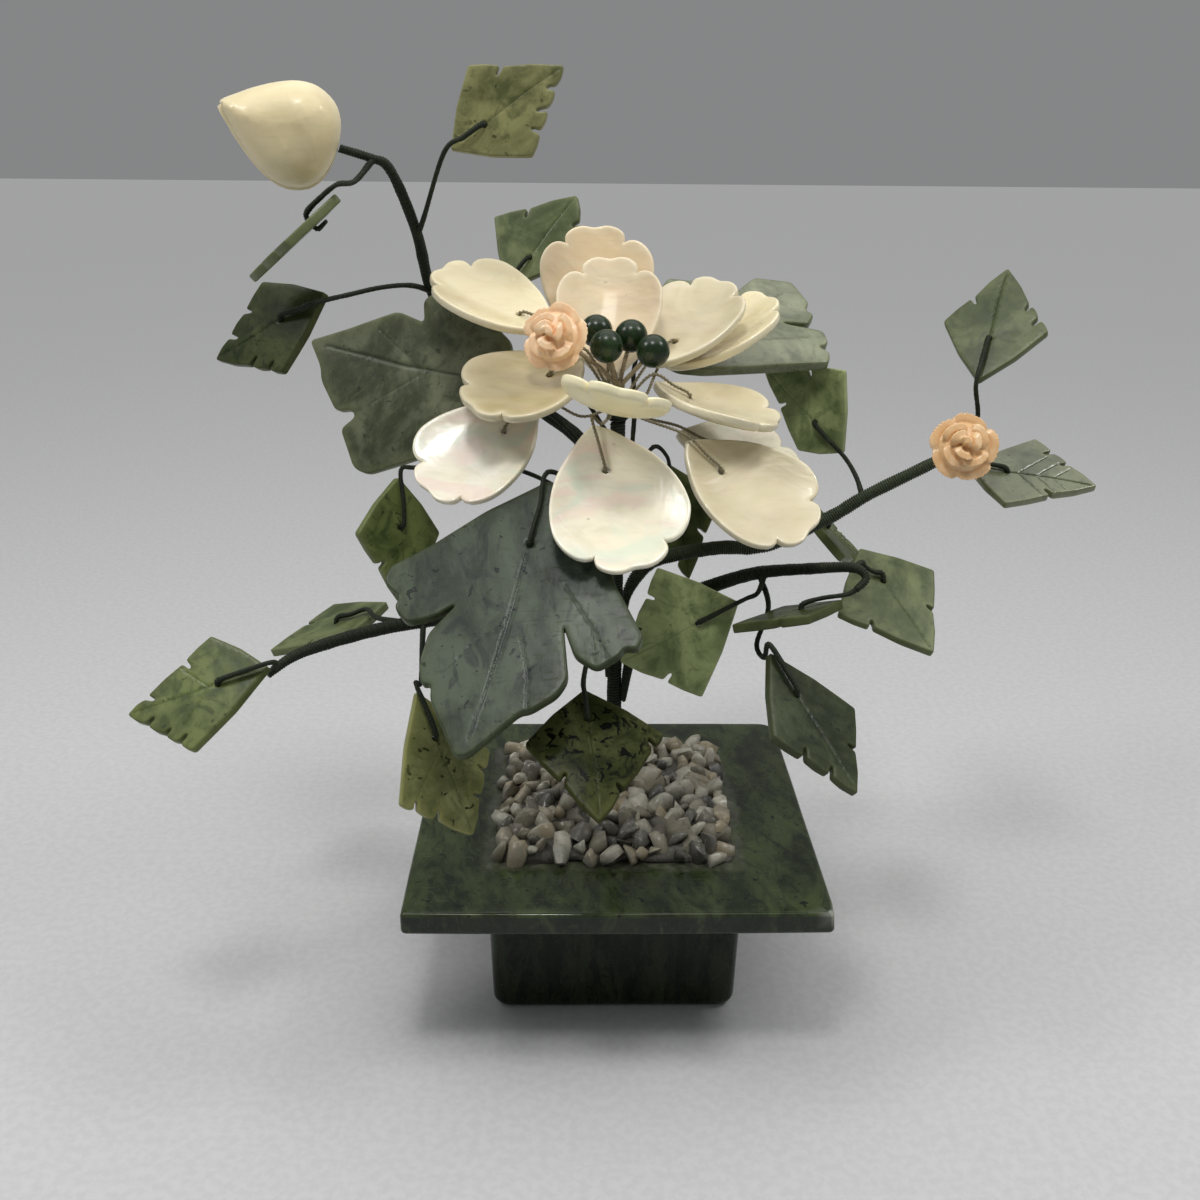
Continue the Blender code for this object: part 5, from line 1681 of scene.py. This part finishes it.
@dataclass
class Flower:
    """Petals, their collar and wires, the beads on their stems and the roses."""

    collar_height: float = 111.0
    collar_radius: float = 2.2
    petal_wire: float = 0.33
    knot_height: float = 114.7
    knot_strands: int = 5
    bead_radius: float = 2.9
    bead_bore: float = 0.5
    bead_sides: int = 40
    bead_steps: int = 24
    bead_places: tuple[Point3, ...] = ((-3.9, 3.5, 124.0), (-2.2, -2.5, 122.3), (2.2, 2.0, 123.4), (5.8, -3.0, 121.6))

    def build(self, tree: WindingTree) -> None:
        """Make the whole flower and the pale rose on its branch.

        Args:
            tree: The winding tree.
        """
        for index, petal in enumerate(PETALS):
            name = petal.name + "_cut"
            mesh = petal.plate().build(name, petal.matrix(), 20 + index * 2.3)
            stand_for(name, mesh, petal.shell, Slot.PETAL, petal.name)
        self._petal_wires(tree)
        self._stamens(tree)
        for number, place in enumerate(self.bead_places, 1):
            name = f"bead_{number}"
            stand_for(name + "_turned", self._bead(name, Vector(place)), BEAD_STONE, Slot.BEAD, name)
        Rose("rose_pink_carved", (-10.2, -3.4, 123.3), (250, 20, 0), "rose_pink", 6.0, 7.0, Slot.PINK,
             PINK_STONE).build()
        Rose("rose_pale_carved", (64, 6.4, 102.1), (262, 25, 0), "rose_pale", 6.4, 7.0, Slot.PALE,
             PALE_STONE).build()

    def _petal_wires(self, tree: WindingTree) -> None:
        """Make the wound collar and a twisted wire from it to each petal.

        Args:
            tree: The winding tree.
        """
        centre, radius = Vector((0, 0, self.collar_height)), self.collar_radius
        wires = []
        for petal in PETALS:
            route = [*map(Vector, petal.via), *petal.wire_end()]
            away = (route[0] - centre).normalized()
            wires.append(Wire([centre + away * radius * 0.4, centre + away * radius * 1.3, *route],
                              (self.petal_wire,), 6))
        PETAL_WIRE_TWIST.wind(tree, "petal_wires_twisted", wires, BROWN_THREAD, Slot.BROWN_THREAD, "flower_wires")
        collar = Wire([(0, 0, self.collar_height + step) for step in (-radius, 0, radius)],
                      (1.5, 2.0, 2.2, 2.15, 1.9, 1.2))
        COLLAR_WINDING.wind(tree, "collar_wound", [collar], GREEN_THREAD, Slot.GREEN_THREAD, "flower_wires")

    def _stamens(self, tree: WindingTree) -> None:
        """Make the knot with the striped stems of the beads and of the rose.

        Args:
            tree: The winding tree.
        """
        knot = Vector((0, 0, self.knot_height))
        wires = [Wire([knot, (-3, -0.6, 118), (-7, -1, 121), (-9.7, -3, 123)], (0.5, 0.42))]
        for place in map(Vector, self.bead_places):
            down = (knot - place).normalized()
            wires.append(Wire([knot - down * 0.3, knot - down * 3, place + down * (self.bead_radius - 0.2)],
                              (0.5, 0.45)))
        for strand in range(self.knot_strands):
            angle = strand * 2 * pi / self.knot_strands
            wires.append(Wire([(*on_circle(0.5, angle), 113.4), (*on_circle(0.8, angle), self.knot_height),
                               (*on_circle(0.6, angle), 116.0)], (0.42,)))
        STEM_WINDING.wind(tree, "stamen_stems_wound", wires, STRIPED_THREAD, Slot.BROWN_THREAD, "stamen_wires")

    def _bead(self, name: str, place: Vector) -> Mesh:
        """Turn one bead, with the flared mouth of its drilled hole round its stem.

        Args:
            name: Mesh name.
            place: Its centre.

        Returns:
            The mesh.
        """
        radius, bore, sides = self.bead_radius, self.bead_bore, self.bead_sides
        low = -sqrt(radius ** 2 - (bore + 0.22) ** 2)
        profile = [(bore, -radius * 0.35), (bore, low + 0.25), (bore + 0.08, low + 0.08)]
        for step in range(self.bead_steps):
            profile.append(on_circle(radius, -pi / 2 + 0.25 + (pi - 0.25) * step / self.bead_steps))
        bm = bmesh.new()
        rings = [[bm.verts.new((*on_circle(reach, i * 2 * pi / sides), height)) for i in range(sides)]
                 for reach, height in profile]
        bridge(bm, rings)
        bm.faces.new(rings[0])
        top = bm.verts.new((0, 0, radius))
        for i in range(sides):
            bm.faces.new((rings[-1][i - 1], rings[-1][i], top))
        up = (place - Vector((0, 0, self.knot_height))).normalized()
        return mesh_in_place(name, bm, Matrix.Translation(place) @ up.to_track_quat("Z", "Y").to_matrix().to_4x4())


@dataclass
class Bud:
    """Closed bud of two domed shells, face to face, a little turned against each other."""

    at: Point3 = (-47.6, 3.0, 153.4)
    aim: Point3 = (180.0, 20.0, 0.0)
    length: float = 20.5
    width: float = 17.2
    dome: float = 6.6
    wall: float = 0.5

    def build(self) -> None:
        """Carve both shells, each a drop with a blunt foot, full sides and a pointed tip, and place them."""
        side = ((0.0, 0.0), (0.01, 0.14), (0.05, 0.30), (0.14, 0.43), (0.30, 0.50), (0.46, 0.475), (0.62, 0.38),
                (0.78, 0.245), (0.90, 0.12), (0.97, 0.045), (1.0, 0.0))
        half, thickness = bent(side, 3), self.dome + self.wall
        for name, grow, roll, tip in (("bud_front_shell", 1.0, 0.0, 0.0), ("bud_back_shell", 0.985, 180.0, -3.0)):
            plate = CarvedPlate(mirrored(half, self.length * grow, self.width * grow), thickness, 0.0, 6.4, self.dome,
                                0.3, 0.25, (), 0.6, wobble=0.15, rim_width=0.5)
            place = (frame_at(self.at, self.aim) @ Matrix.Rotation(radians(tip), 4, "Y")
                     @ Matrix.Rotation(radians(90), 4, "X") @ Matrix.Rotation(radians(roll), 4, "X")
                     @ Matrix.Translation((0, 0, thickness)))
            stand_for(name, plate.build(name, place, 50 + roll), Shell.BUD, Slot.PETAL, "bud")


# -------- pot and pebbles


@dataclass
class Pot:
    """Square planter: a tapering body under a wide slab with softened edges."""

    rim_width: float = 75.0
    rim_top: float = 31.3
    rim_thickness: float = 4.3
    rim_bevel: float = 0.75
    rim_corner: float = 0.8
    rim_back_corner: float = 3.4
    rim_bow: float = 0.35
    opening: float = 41.0
    opening_corner: float = 2.0
    body_top: float = 47.4
    body_foot: float = 46.0
    body_corner: float = 3.0
    body_wall: float = 3.2
    foot_round: float = 2.4
    hollow_corner: float = 1.6
    chip_reach: float = 2.6
    corner_steps: int = 8
    side_steps: int = 28

    def _ring(self, half: float, corner: float, height: float, bow: float = 0.0, back: float = 0.0) -> list[Vector]:
        """Square ring with round corners, rounder ones at the back, and a slight outward bow on its front.

        Args:
            half: Half of its side.
            corner: Radius of its corners.
            height: Its height.
            bow: How far its front bulges.
            back: Radius of the back corners, where that is larger.

        Returns:
            Points of the ring.
        """
        points = []
        radii = [max(corner, back), max(corner, back), corner, corner]
        for side, radius in enumerate(radii):
            turn = Matrix.Rotation(side * pi / 2, 3, "Z")
            arc = [Vector((half - radius + radius * cos(angle), half - radius + radius * sin(angle), height))
                   for angle in quarter(self.corner_steps)]
            after = Vector((-(half - radii[(side + 1) % 4]), half, height))
            run = [arc[-1].lerp(after, step / self.side_steps) for step in range(1, self.side_steps)]
            points += [turn @ point for point in arc + run]
        for point in points:
            if point.y < 0:
                point.y -= bow * (1 - (point.x / half) ** 2) * (-point.y / half)
        return points

    @staticmethod
    def _loft(rings: list[list[Vector]], closed: bool) -> BMesh:
        """Bridge rings, either round into a closed ring or with a face at each end.

        Args:
            rings: The rings.
            closed: Whether the last ring joins the first.

        Returns:
            Mesh in millimetres.
        """
        bm = bmesh.new()
        rows = [[bm.verts.new(point) for point in ring] for ring in rings]
        if not closed:
            bm.faces.new(rows[0])
            bm.faces.new(rows[-1])
        bridge(bm, [*rows, rows[0]] if closed else rows)
        return bm

    @staticmethod
    def _waver_and_mark_lit_edges(bm: BMesh, amount: float) -> None:
        """Waver the surface very slightly, as hand polishing does, and mark the thin edges for painted edge light.

        Args:
            bm: Mesh in millimetres.
            amount: How far the surface wavers.
        """
        rim = bm.verts.layers.float.new("rim")
        bm.normal_update()
        for vert in bm.verts:
            vert.co += vert.normal * (noise.noise(vert.co * 0.06) * amount)
            # Sharper bends get more painted edge light.
            vert[rim] = min(1.0, max(edge.calc_face_angle(0.0) for edge in vert.link_edges) * 1.4)

    def _chip(self, bm: BMesh) -> None:
        """Break a small pale chip off the front right corner of the slab.

        Args:
            bm: The slab in millimetres, which gets "nick" at its points.
        """
        nick = bm.verts.layers.float.new("nick")
        corner = Vector((self.rim_width / 2, -self.rim_width / 2, self.rim_top))
        for vert in bm.verts:
            away = (vert.co - corner).length
            vert[nick] = min(1.0, max(0.0, 2.0 - away / 0.7))
            if away < self.chip_reach:
                pull = (1 - away / self.chip_reach) * (0.45 + 0.35 * noise.noise(vert.co * 1.7))
                vert.co += Vector((-1, 1, -0.8)).normalized() * pull

    def build(self) -> None:
        """Make the slab and the body and finish the hidden filling."""
        slab, body = self._slab(), self._body()
        for name, bm, jade, node in (("pot_slab_polished", slab, Jade.RIM, "pot_rim"),
                                     ("pot_body_polished", body, Jade.BODY, "pot_body")):
            stand_for(name, mesh_in_place(name, bm, sharp=50), jade, Slot.POT, node)
        filling = frame["nodes"]["plaster_fill"]
        filling.data.materials.clear()
        filling.data.materials.append(dressed_in(PLASTER))

    def _slab(self) -> BMesh:
        """Make the slab with its cut opening.

        Returns:
            Mesh in millimetres, with "cut" on its side faces for painted shade there.
        """
        half, under, bevel = self.rim_width / 2, self.rim_top - self.rim_thickness, self.rim_bevel
        outer = [(half - bevel + bevel * sin(angle), under + bevel - bevel * cos(angle)) for angle in quarter(5)]
        outer += [(half, under + 0.9), (half, self.rim_top - 0.9)]
        outer += [(half - bevel + bevel * cos(angle), self.rim_top - bevel + bevel * sin(angle))
                  for angle in quarter(5)]
        rings = [self._ring(reach, self.rim_corner, height, self.rim_bow, self.rim_back_corner)
                 for reach, height in outer]
        hole = self.opening / 2
        inner = [(half - (half - hole) * share, self.rim_top) for share in (0.15, 0.4, 0.7, 1.0)] + [(hole, under)]
        inner += [(half - (half - hole) * share, under) for share in (0.7, 0.4, 0.15)]
        rings += [self._ring(reach, self.opening_corner, height) for reach, height in inner]
        bm = self._loft(rings, closed=True)
        self._chip(bm)
        self._waver_and_mark_lit_edges(bm, 0.06)
        # Painted shade: the slab's sides below the top edge get the dark tint.
        cut = bm.verts.layers.float.new("cut")
        for vert in bm.verts:
            outside = max(abs(vert.co.x), abs(vert.co.y)) > half - 0.3
            vert[cut] = 1.0 if outside and vert.co.z < self.rim_top - 0.6 else 0.0
        return bm

    def _body(self) -> BMesh:
        """Make the tapering body, hollow from above.

        Returns:
            Mesh in millimetres.
        """
        foot, top, around = self.body_foot / 2, self.body_top / 2, self.foot_round
        height = self.rim_top - self.rim_thickness - 0.05
        inner, hollow = top - self.body_wall, self.hollow_corner
        profile = [(foot - 2.6, 1.6, 0.0)]
        profile += [(foot - around + around * sin(angle), 1.8 + 1.2 * sin(angle), around - around * cos(angle))
                    for angle in quarter(7)[1:]]
        profile += [(foot + (top - foot) * share, self.body_corner, around + (height - around) * share)
                    for share in (0.2, 0.4, 0.6, 0.8, 1.0)]
        profile += [(inner, hollow, height), (inner - 0.4, hollow, 15.0), (foot - 3.4, hollow, 5.0)]
        bm = self._loft([self._ring(*item) for item in profile], closed=False)
        self._waver_and_mark_lit_edges(bm, 0.05)
        return bm


class PebbleTree(GrownTree):
    """Tree that scatters pebbles over the bed, each with its own size, turn and tone."""

    def __init__(self) -> None:
        """Build the tree."""
        super().__init__("Pebble scatter", Pebbles="Collection", Spacing=2.6 * MM, Smallest=0.8, Largest=1.3, Seed=4)

    def lay_out(self, given: dict[str, Term]) -> Term:
        """Lay out the nodes.

        Args:
            given: Inputs of the tree.

        Returns:
            The scattered pebbles, each with "tone".
        """
        spots = self.node("GeometryNodeDistributePointsOnFaces", {"distribute_method": "POISSON"},
                          {"Mesh": given["Geometry"], "Distance Min": given["Spacing"], "Density Max": 900000.0,
                           "Seed": given["Seed"]})
        stones = self.node("GeometryNodeCollectionInfo", {},
                           {"Collection": given["Pebbles"], "Separate Children": True, "Reset Children": True})
        size = self._random("FLOAT", {2: given["Smallest"], 3: given["Largest"], "Seed": 11}, 1)
        turn = self._random("FLOAT_VECTOR", {0: (0.0, 0.0, 0.0), 1: (2 * pi, 2 * pi, 2 * pi), "Seed": 12}, 0)
        placed = self.node("GeometryNodeInstanceOnPoints", {},
                           {"Points": spots, "Instance": stones, "Pick Instance": True, "Rotation": turn,
                            "Scale": size})
        tone = self._random("FLOAT", {2: 0.0, 3: 1.0, "Seed": 13}, 1)
        return self.node("GeometryNodeStoreNamedAttribute", {"data_type": "FLOAT", "domain": "INSTANCE"},
                         {"Geometry": placed, "Name": "tone", "Value": tone})

    def _random(self, kind: str, inputs: dict[Any, Any], output: int) -> Term:
        """Add a random value for each pebble."""
        return self.node("FunctionNodeRandomValue", {"data_type": kind}, inputs, output)


@dataclass
class PebbleBed:
    """Dusty glued bed heaped on the opening, with the pebbles scattered over it."""

    floor: float = 31.3
    half: float = 22.6
    crown: float = 2.6
    edge: float = 0.2
    spacing: float = 2.45
    shapes: int = 8
    smallest: float = 0.7
    largest: float = 1.5
    seed: int = 9
    outline_points: int = 120

    def _height(self, flat: np.ndarray) -> np.ndarray:
        """Height of the bed above the slab: a flat heap with soft shoulders.

        Args:
            flat: Flat points.

        Returns:
            One height for each point.
        """
        reach = np.clip(np.abs(flat) / self.half, 0, 1)
        fall = (1 - reach[:, 0] ** 4) * (1 - reach[:, 1] ** 4)
        return self.crown * fall ** 0.6 + self.edge

    def _outline(self, waver: float) -> list[Point]:
        """Draw a square with round corners and a wavering edge.

        Args:
            waver: How far its edge wavers.

        Returns:
            The closed outline.
        """
        points = []
        for i in range(self.outline_points):
            angle = i * 2 * pi / self.outline_points
            reach = (self.half - 0.9) / max(abs(cos(angle)), abs(sin(angle)), 0.73)
            reach += noise.noise(Vector((cos(angle) * 4, sin(angle) * 4, 3.0))) * waver
            points.append(on_circle(reach, angle))
        return points

    @staticmethod
    def _pebble(rng: Random, name: str) -> Object:
        """Make one crushed stone: a hull of random points with worn edges, about 5 mm long before it is scaled.

        Args:
            rng: Source of its shape.
            name: Its name.

        Returns:
            The stone at the origin.
        """
        bm = bmesh.new()
        size = Vector((2.7, rng.uniform(1.9, 2.5), rng.uniform(1.4, 2.0)))
        for _ in range(13):
            way = Vector((rng.gauss(0, 1), rng.gauss(0, 1), rng.gauss(0, 1))).normalized()
            bm.verts.new(way * size * rng.uniform(0.86, 1.0))
        hull = bmesh.ops.convex_hull(bm, input=bm.verts)
        bmesh.ops.delete(bm, geom=[v for v in hull["geom_interior"] if isinstance(v, BMVert)],
                         context="VERTS")
        bmesh.ops.dissolve_limit(bm, angle_limit=radians(14), verts=bm.verts, edges=bm.edges)
        bmesh.ops.triangulate(bm, faces=[f for f in bm.faces if len(f.verts) > 4])
        bmesh.ops.subdivide_edges(bm, edges=list(bm.edges), cuts=1, use_grid_fill=True)
        bmesh.ops.smooth_vert(bm, verts=list(bm.verts), factor=0.2, use_axis_x=True, use_axis_y=True, use_axis_z=True)
        return new_object(name, mesh_in_place(name, bm, sharp=75))

    def build(self) -> None:
        """Make the bed and scatter the pebbles."""
        bed = CarvedPlate(self._outline(1.6), 0.9, 1.7, 0.6, 0.3, 0.3, 0.05, (), 1.1, self._height, 0.25)
        mesh = bed.build("glue_bed", Matrix.Translation((0, 0, self.floor + 0.02)), 77)
        for vert in mesh.vertices:
            vert.co.z = max(vert.co.z, self.floor * MM)
        stand_for("glue_bed", mesh, GLUE, Slot.PEBBLES, "gravel")
        rng = Random(21)
        store = bpy.data.collections.new("pebble_shapes")
        for index in range(self.shapes):
            stone = self._pebble(rng, f"pebble_shape_{index}")
            bpy.context.scene.collection.objects.unlink(stone)
            store.objects.link(stone)
        scattered = PebbleTree().grow(self._ground(), PEBBLES, Pebbles=store, Spacing=self.spacing * MM,
                                      Smallest=self.smallest, Largest=self.largest, Seed=self.seed)
        for stone in list(store.objects):
            bpy.data.objects.remove(stone, do_unlink=True)
        bpy.data.collections.remove(store)
        stand_for("pebbles_scattered", scattered, None, Slot.PEBBLES, "gravel")

    def _ground(self) -> Object:
        """Make the upper face of the bed, on which the pebbles are scattered.

        Returns:
            The open sheet.
        """
        plate = CarvedPlate(self._outline(1.2), 0.3, 2.6, 0.1, 0.01, 0.1, 0.01, (), 1.4, self._height, 0.3)
        sheet = new_object("pebbles_ground", plate.build("pebbles_ground", Matrix.Translation(
            (0, 0, self.floor + 0.5)), 78))
        cleaner = bmesh.new()
        cleaner.from_mesh(sheet.data)
        down = [face for face in cleaner.faces if face.normal.z < 0.4]
        bmesh.ops.delete(cleaner, geom=down, context="FACES")
        cleaner.to_mesh(sheet.data)
        cleaner.free()
        return sheet


# -------- studio


@dataclass(frozen=True)
class FloorFinish:
    """Plain pale floor, a little clouded."""

    name: str = "floor"

    def build(self) -> Material:
        """Make the material.

        Returns:
            The material.
        """
        g = Shader(self.name)
        clouds = g.band(g.noise(0.6, 3, 0.1), 0.35, 0.65)
        return g.finish(Base_Color=g.mix((0.50, 0.505, 0.515), (0.54, 0.545, 0.555), clouds), Roughness=0.75)


@dataclass
class Studio:
    """Camera at the photo's viewpoint, pale floor and soft light."""

    focal_px: float = 1274.3
    frame_px: float = 1200.0
    pitch: float = 20.23
    yaw: float = 1.22
    roll: float = 0.53
    place: Point3 = (-7.65, -223.7, 157.2)
    sensor: float = 36.0

    def build(self) -> None:
        """Make the camera, the floor, the lights and the world."""
        self._camera()
        bm = bmesh.new()
        bmesh.ops.create_grid(bm, x_segments=2, y_segments=2, size=4000)
        floor = new_object("floor", mesh_in_place("floor", bm), FloorFinish())
        self._lamp("SUN", "key_top", (0, 0, 0), Vector((0.05, 0.16, 1.0)).to_track_quat("Z", "Y"), 1.4,
                   (1.0, 0.985, 0.955), angle=radians(75))
        for name, place, size, power in (("strip_left", (-300, -60, 430), 0.09, 0.55),
                                         ("strip_right", (300, -40, 430), 0.09, 0.5),
                                         ("strip_front", (-40, -170, 520), 0.08, 0.6)):
            turn = (Vector((0, 0, 100)) - Vector(place)).to_track_quat("-Z", "Y")
            self._lamp("AREA", name, place, turn, power, (1.0, 0.99, 0.97), shape="SQUARE", size=size)
        world = bpy.data.worlds.new("Soft box")
        world.use_nodes = True
        back = world.node_tree.nodes["Background"]
        back.inputs["Color"].default_value = (0.98, 0.99, 1.0, 1.0)
        back.inputs["Strength"].default_value = 0.24
        bpy.context.scene.world = world
        bpy.context.scene.view_settings.view_transform = "Standard"

    def _camera(self) -> None:
        """Camera with the photo's view."""
        data = bpy.data.cameras.new("Photo camera")
        data.sensor_fit = "HORIZONTAL"
        data.sensor_width = self.sensor
        data.lens = self.focal_px / self.frame_px * self.sensor
        data.clip_start = 0.01
        camera = new_object("Photo camera", data)
        pitch, yaw, roll = radians(self.pitch), radians(self.yaw), radians(self.roll)
        forward = Vector((sin(yaw) * cos(pitch), cos(yaw) * cos(pitch), -sin(pitch)))
        level = Vector((cos(yaw), -sin(yaw), 0))
        upright = level.cross(forward)
        right = level * cos(roll) + upright * sin(roll)
        up = upright * cos(roll) - level * sin(roll)
        camera.matrix_world = Matrix.Translation(Vector(self.place) * MM) @ Matrix(
            (right, up, -forward)).transposed().to_4x4()
        bpy.context.scene.camera = camera

    @staticmethod
    def _lamp(kind: str, name: str, place: Point3, turn: Quaternion, power: float, color: Point3,
              **shape: Any) -> None:
        """Add a light: a wide sun that lights the floor evenly out to its far edge, or a soft square.

        Args:
            kind: SUN or AREA.
            name: Light name.
            place: Centre in millimetres.
            turn: Its turn.
            power: Strength of a sun, or watts.
            color: Tint.
            **shape: Its size, in radians for a sun and in metres for a square.
        """
        data = bpy.data.lights.new(name, kind)
        for key, value in (shape | {"energy": power, "color": color}).items():
            setattr(data, key, value)
        lamp = new_object(name, data)
        lamp.location = Vector(place) * MM
        lamp.rotation_euler = turn.to_euler()


def main() -> None:
    """Build the studio and every sub-assembly in order."""
    logging.basicConfig(level=logging.INFO, format="%(name)s: %(message)s")
    winding = WindingTree()
    Studio().build()
    Pot().build()
    PebbleBed().build()
    Stems().build(winding)
    LeafSet().build()
    Flower().build(winding)
    Bud().build()


if __name__ == "__main__":
    main()
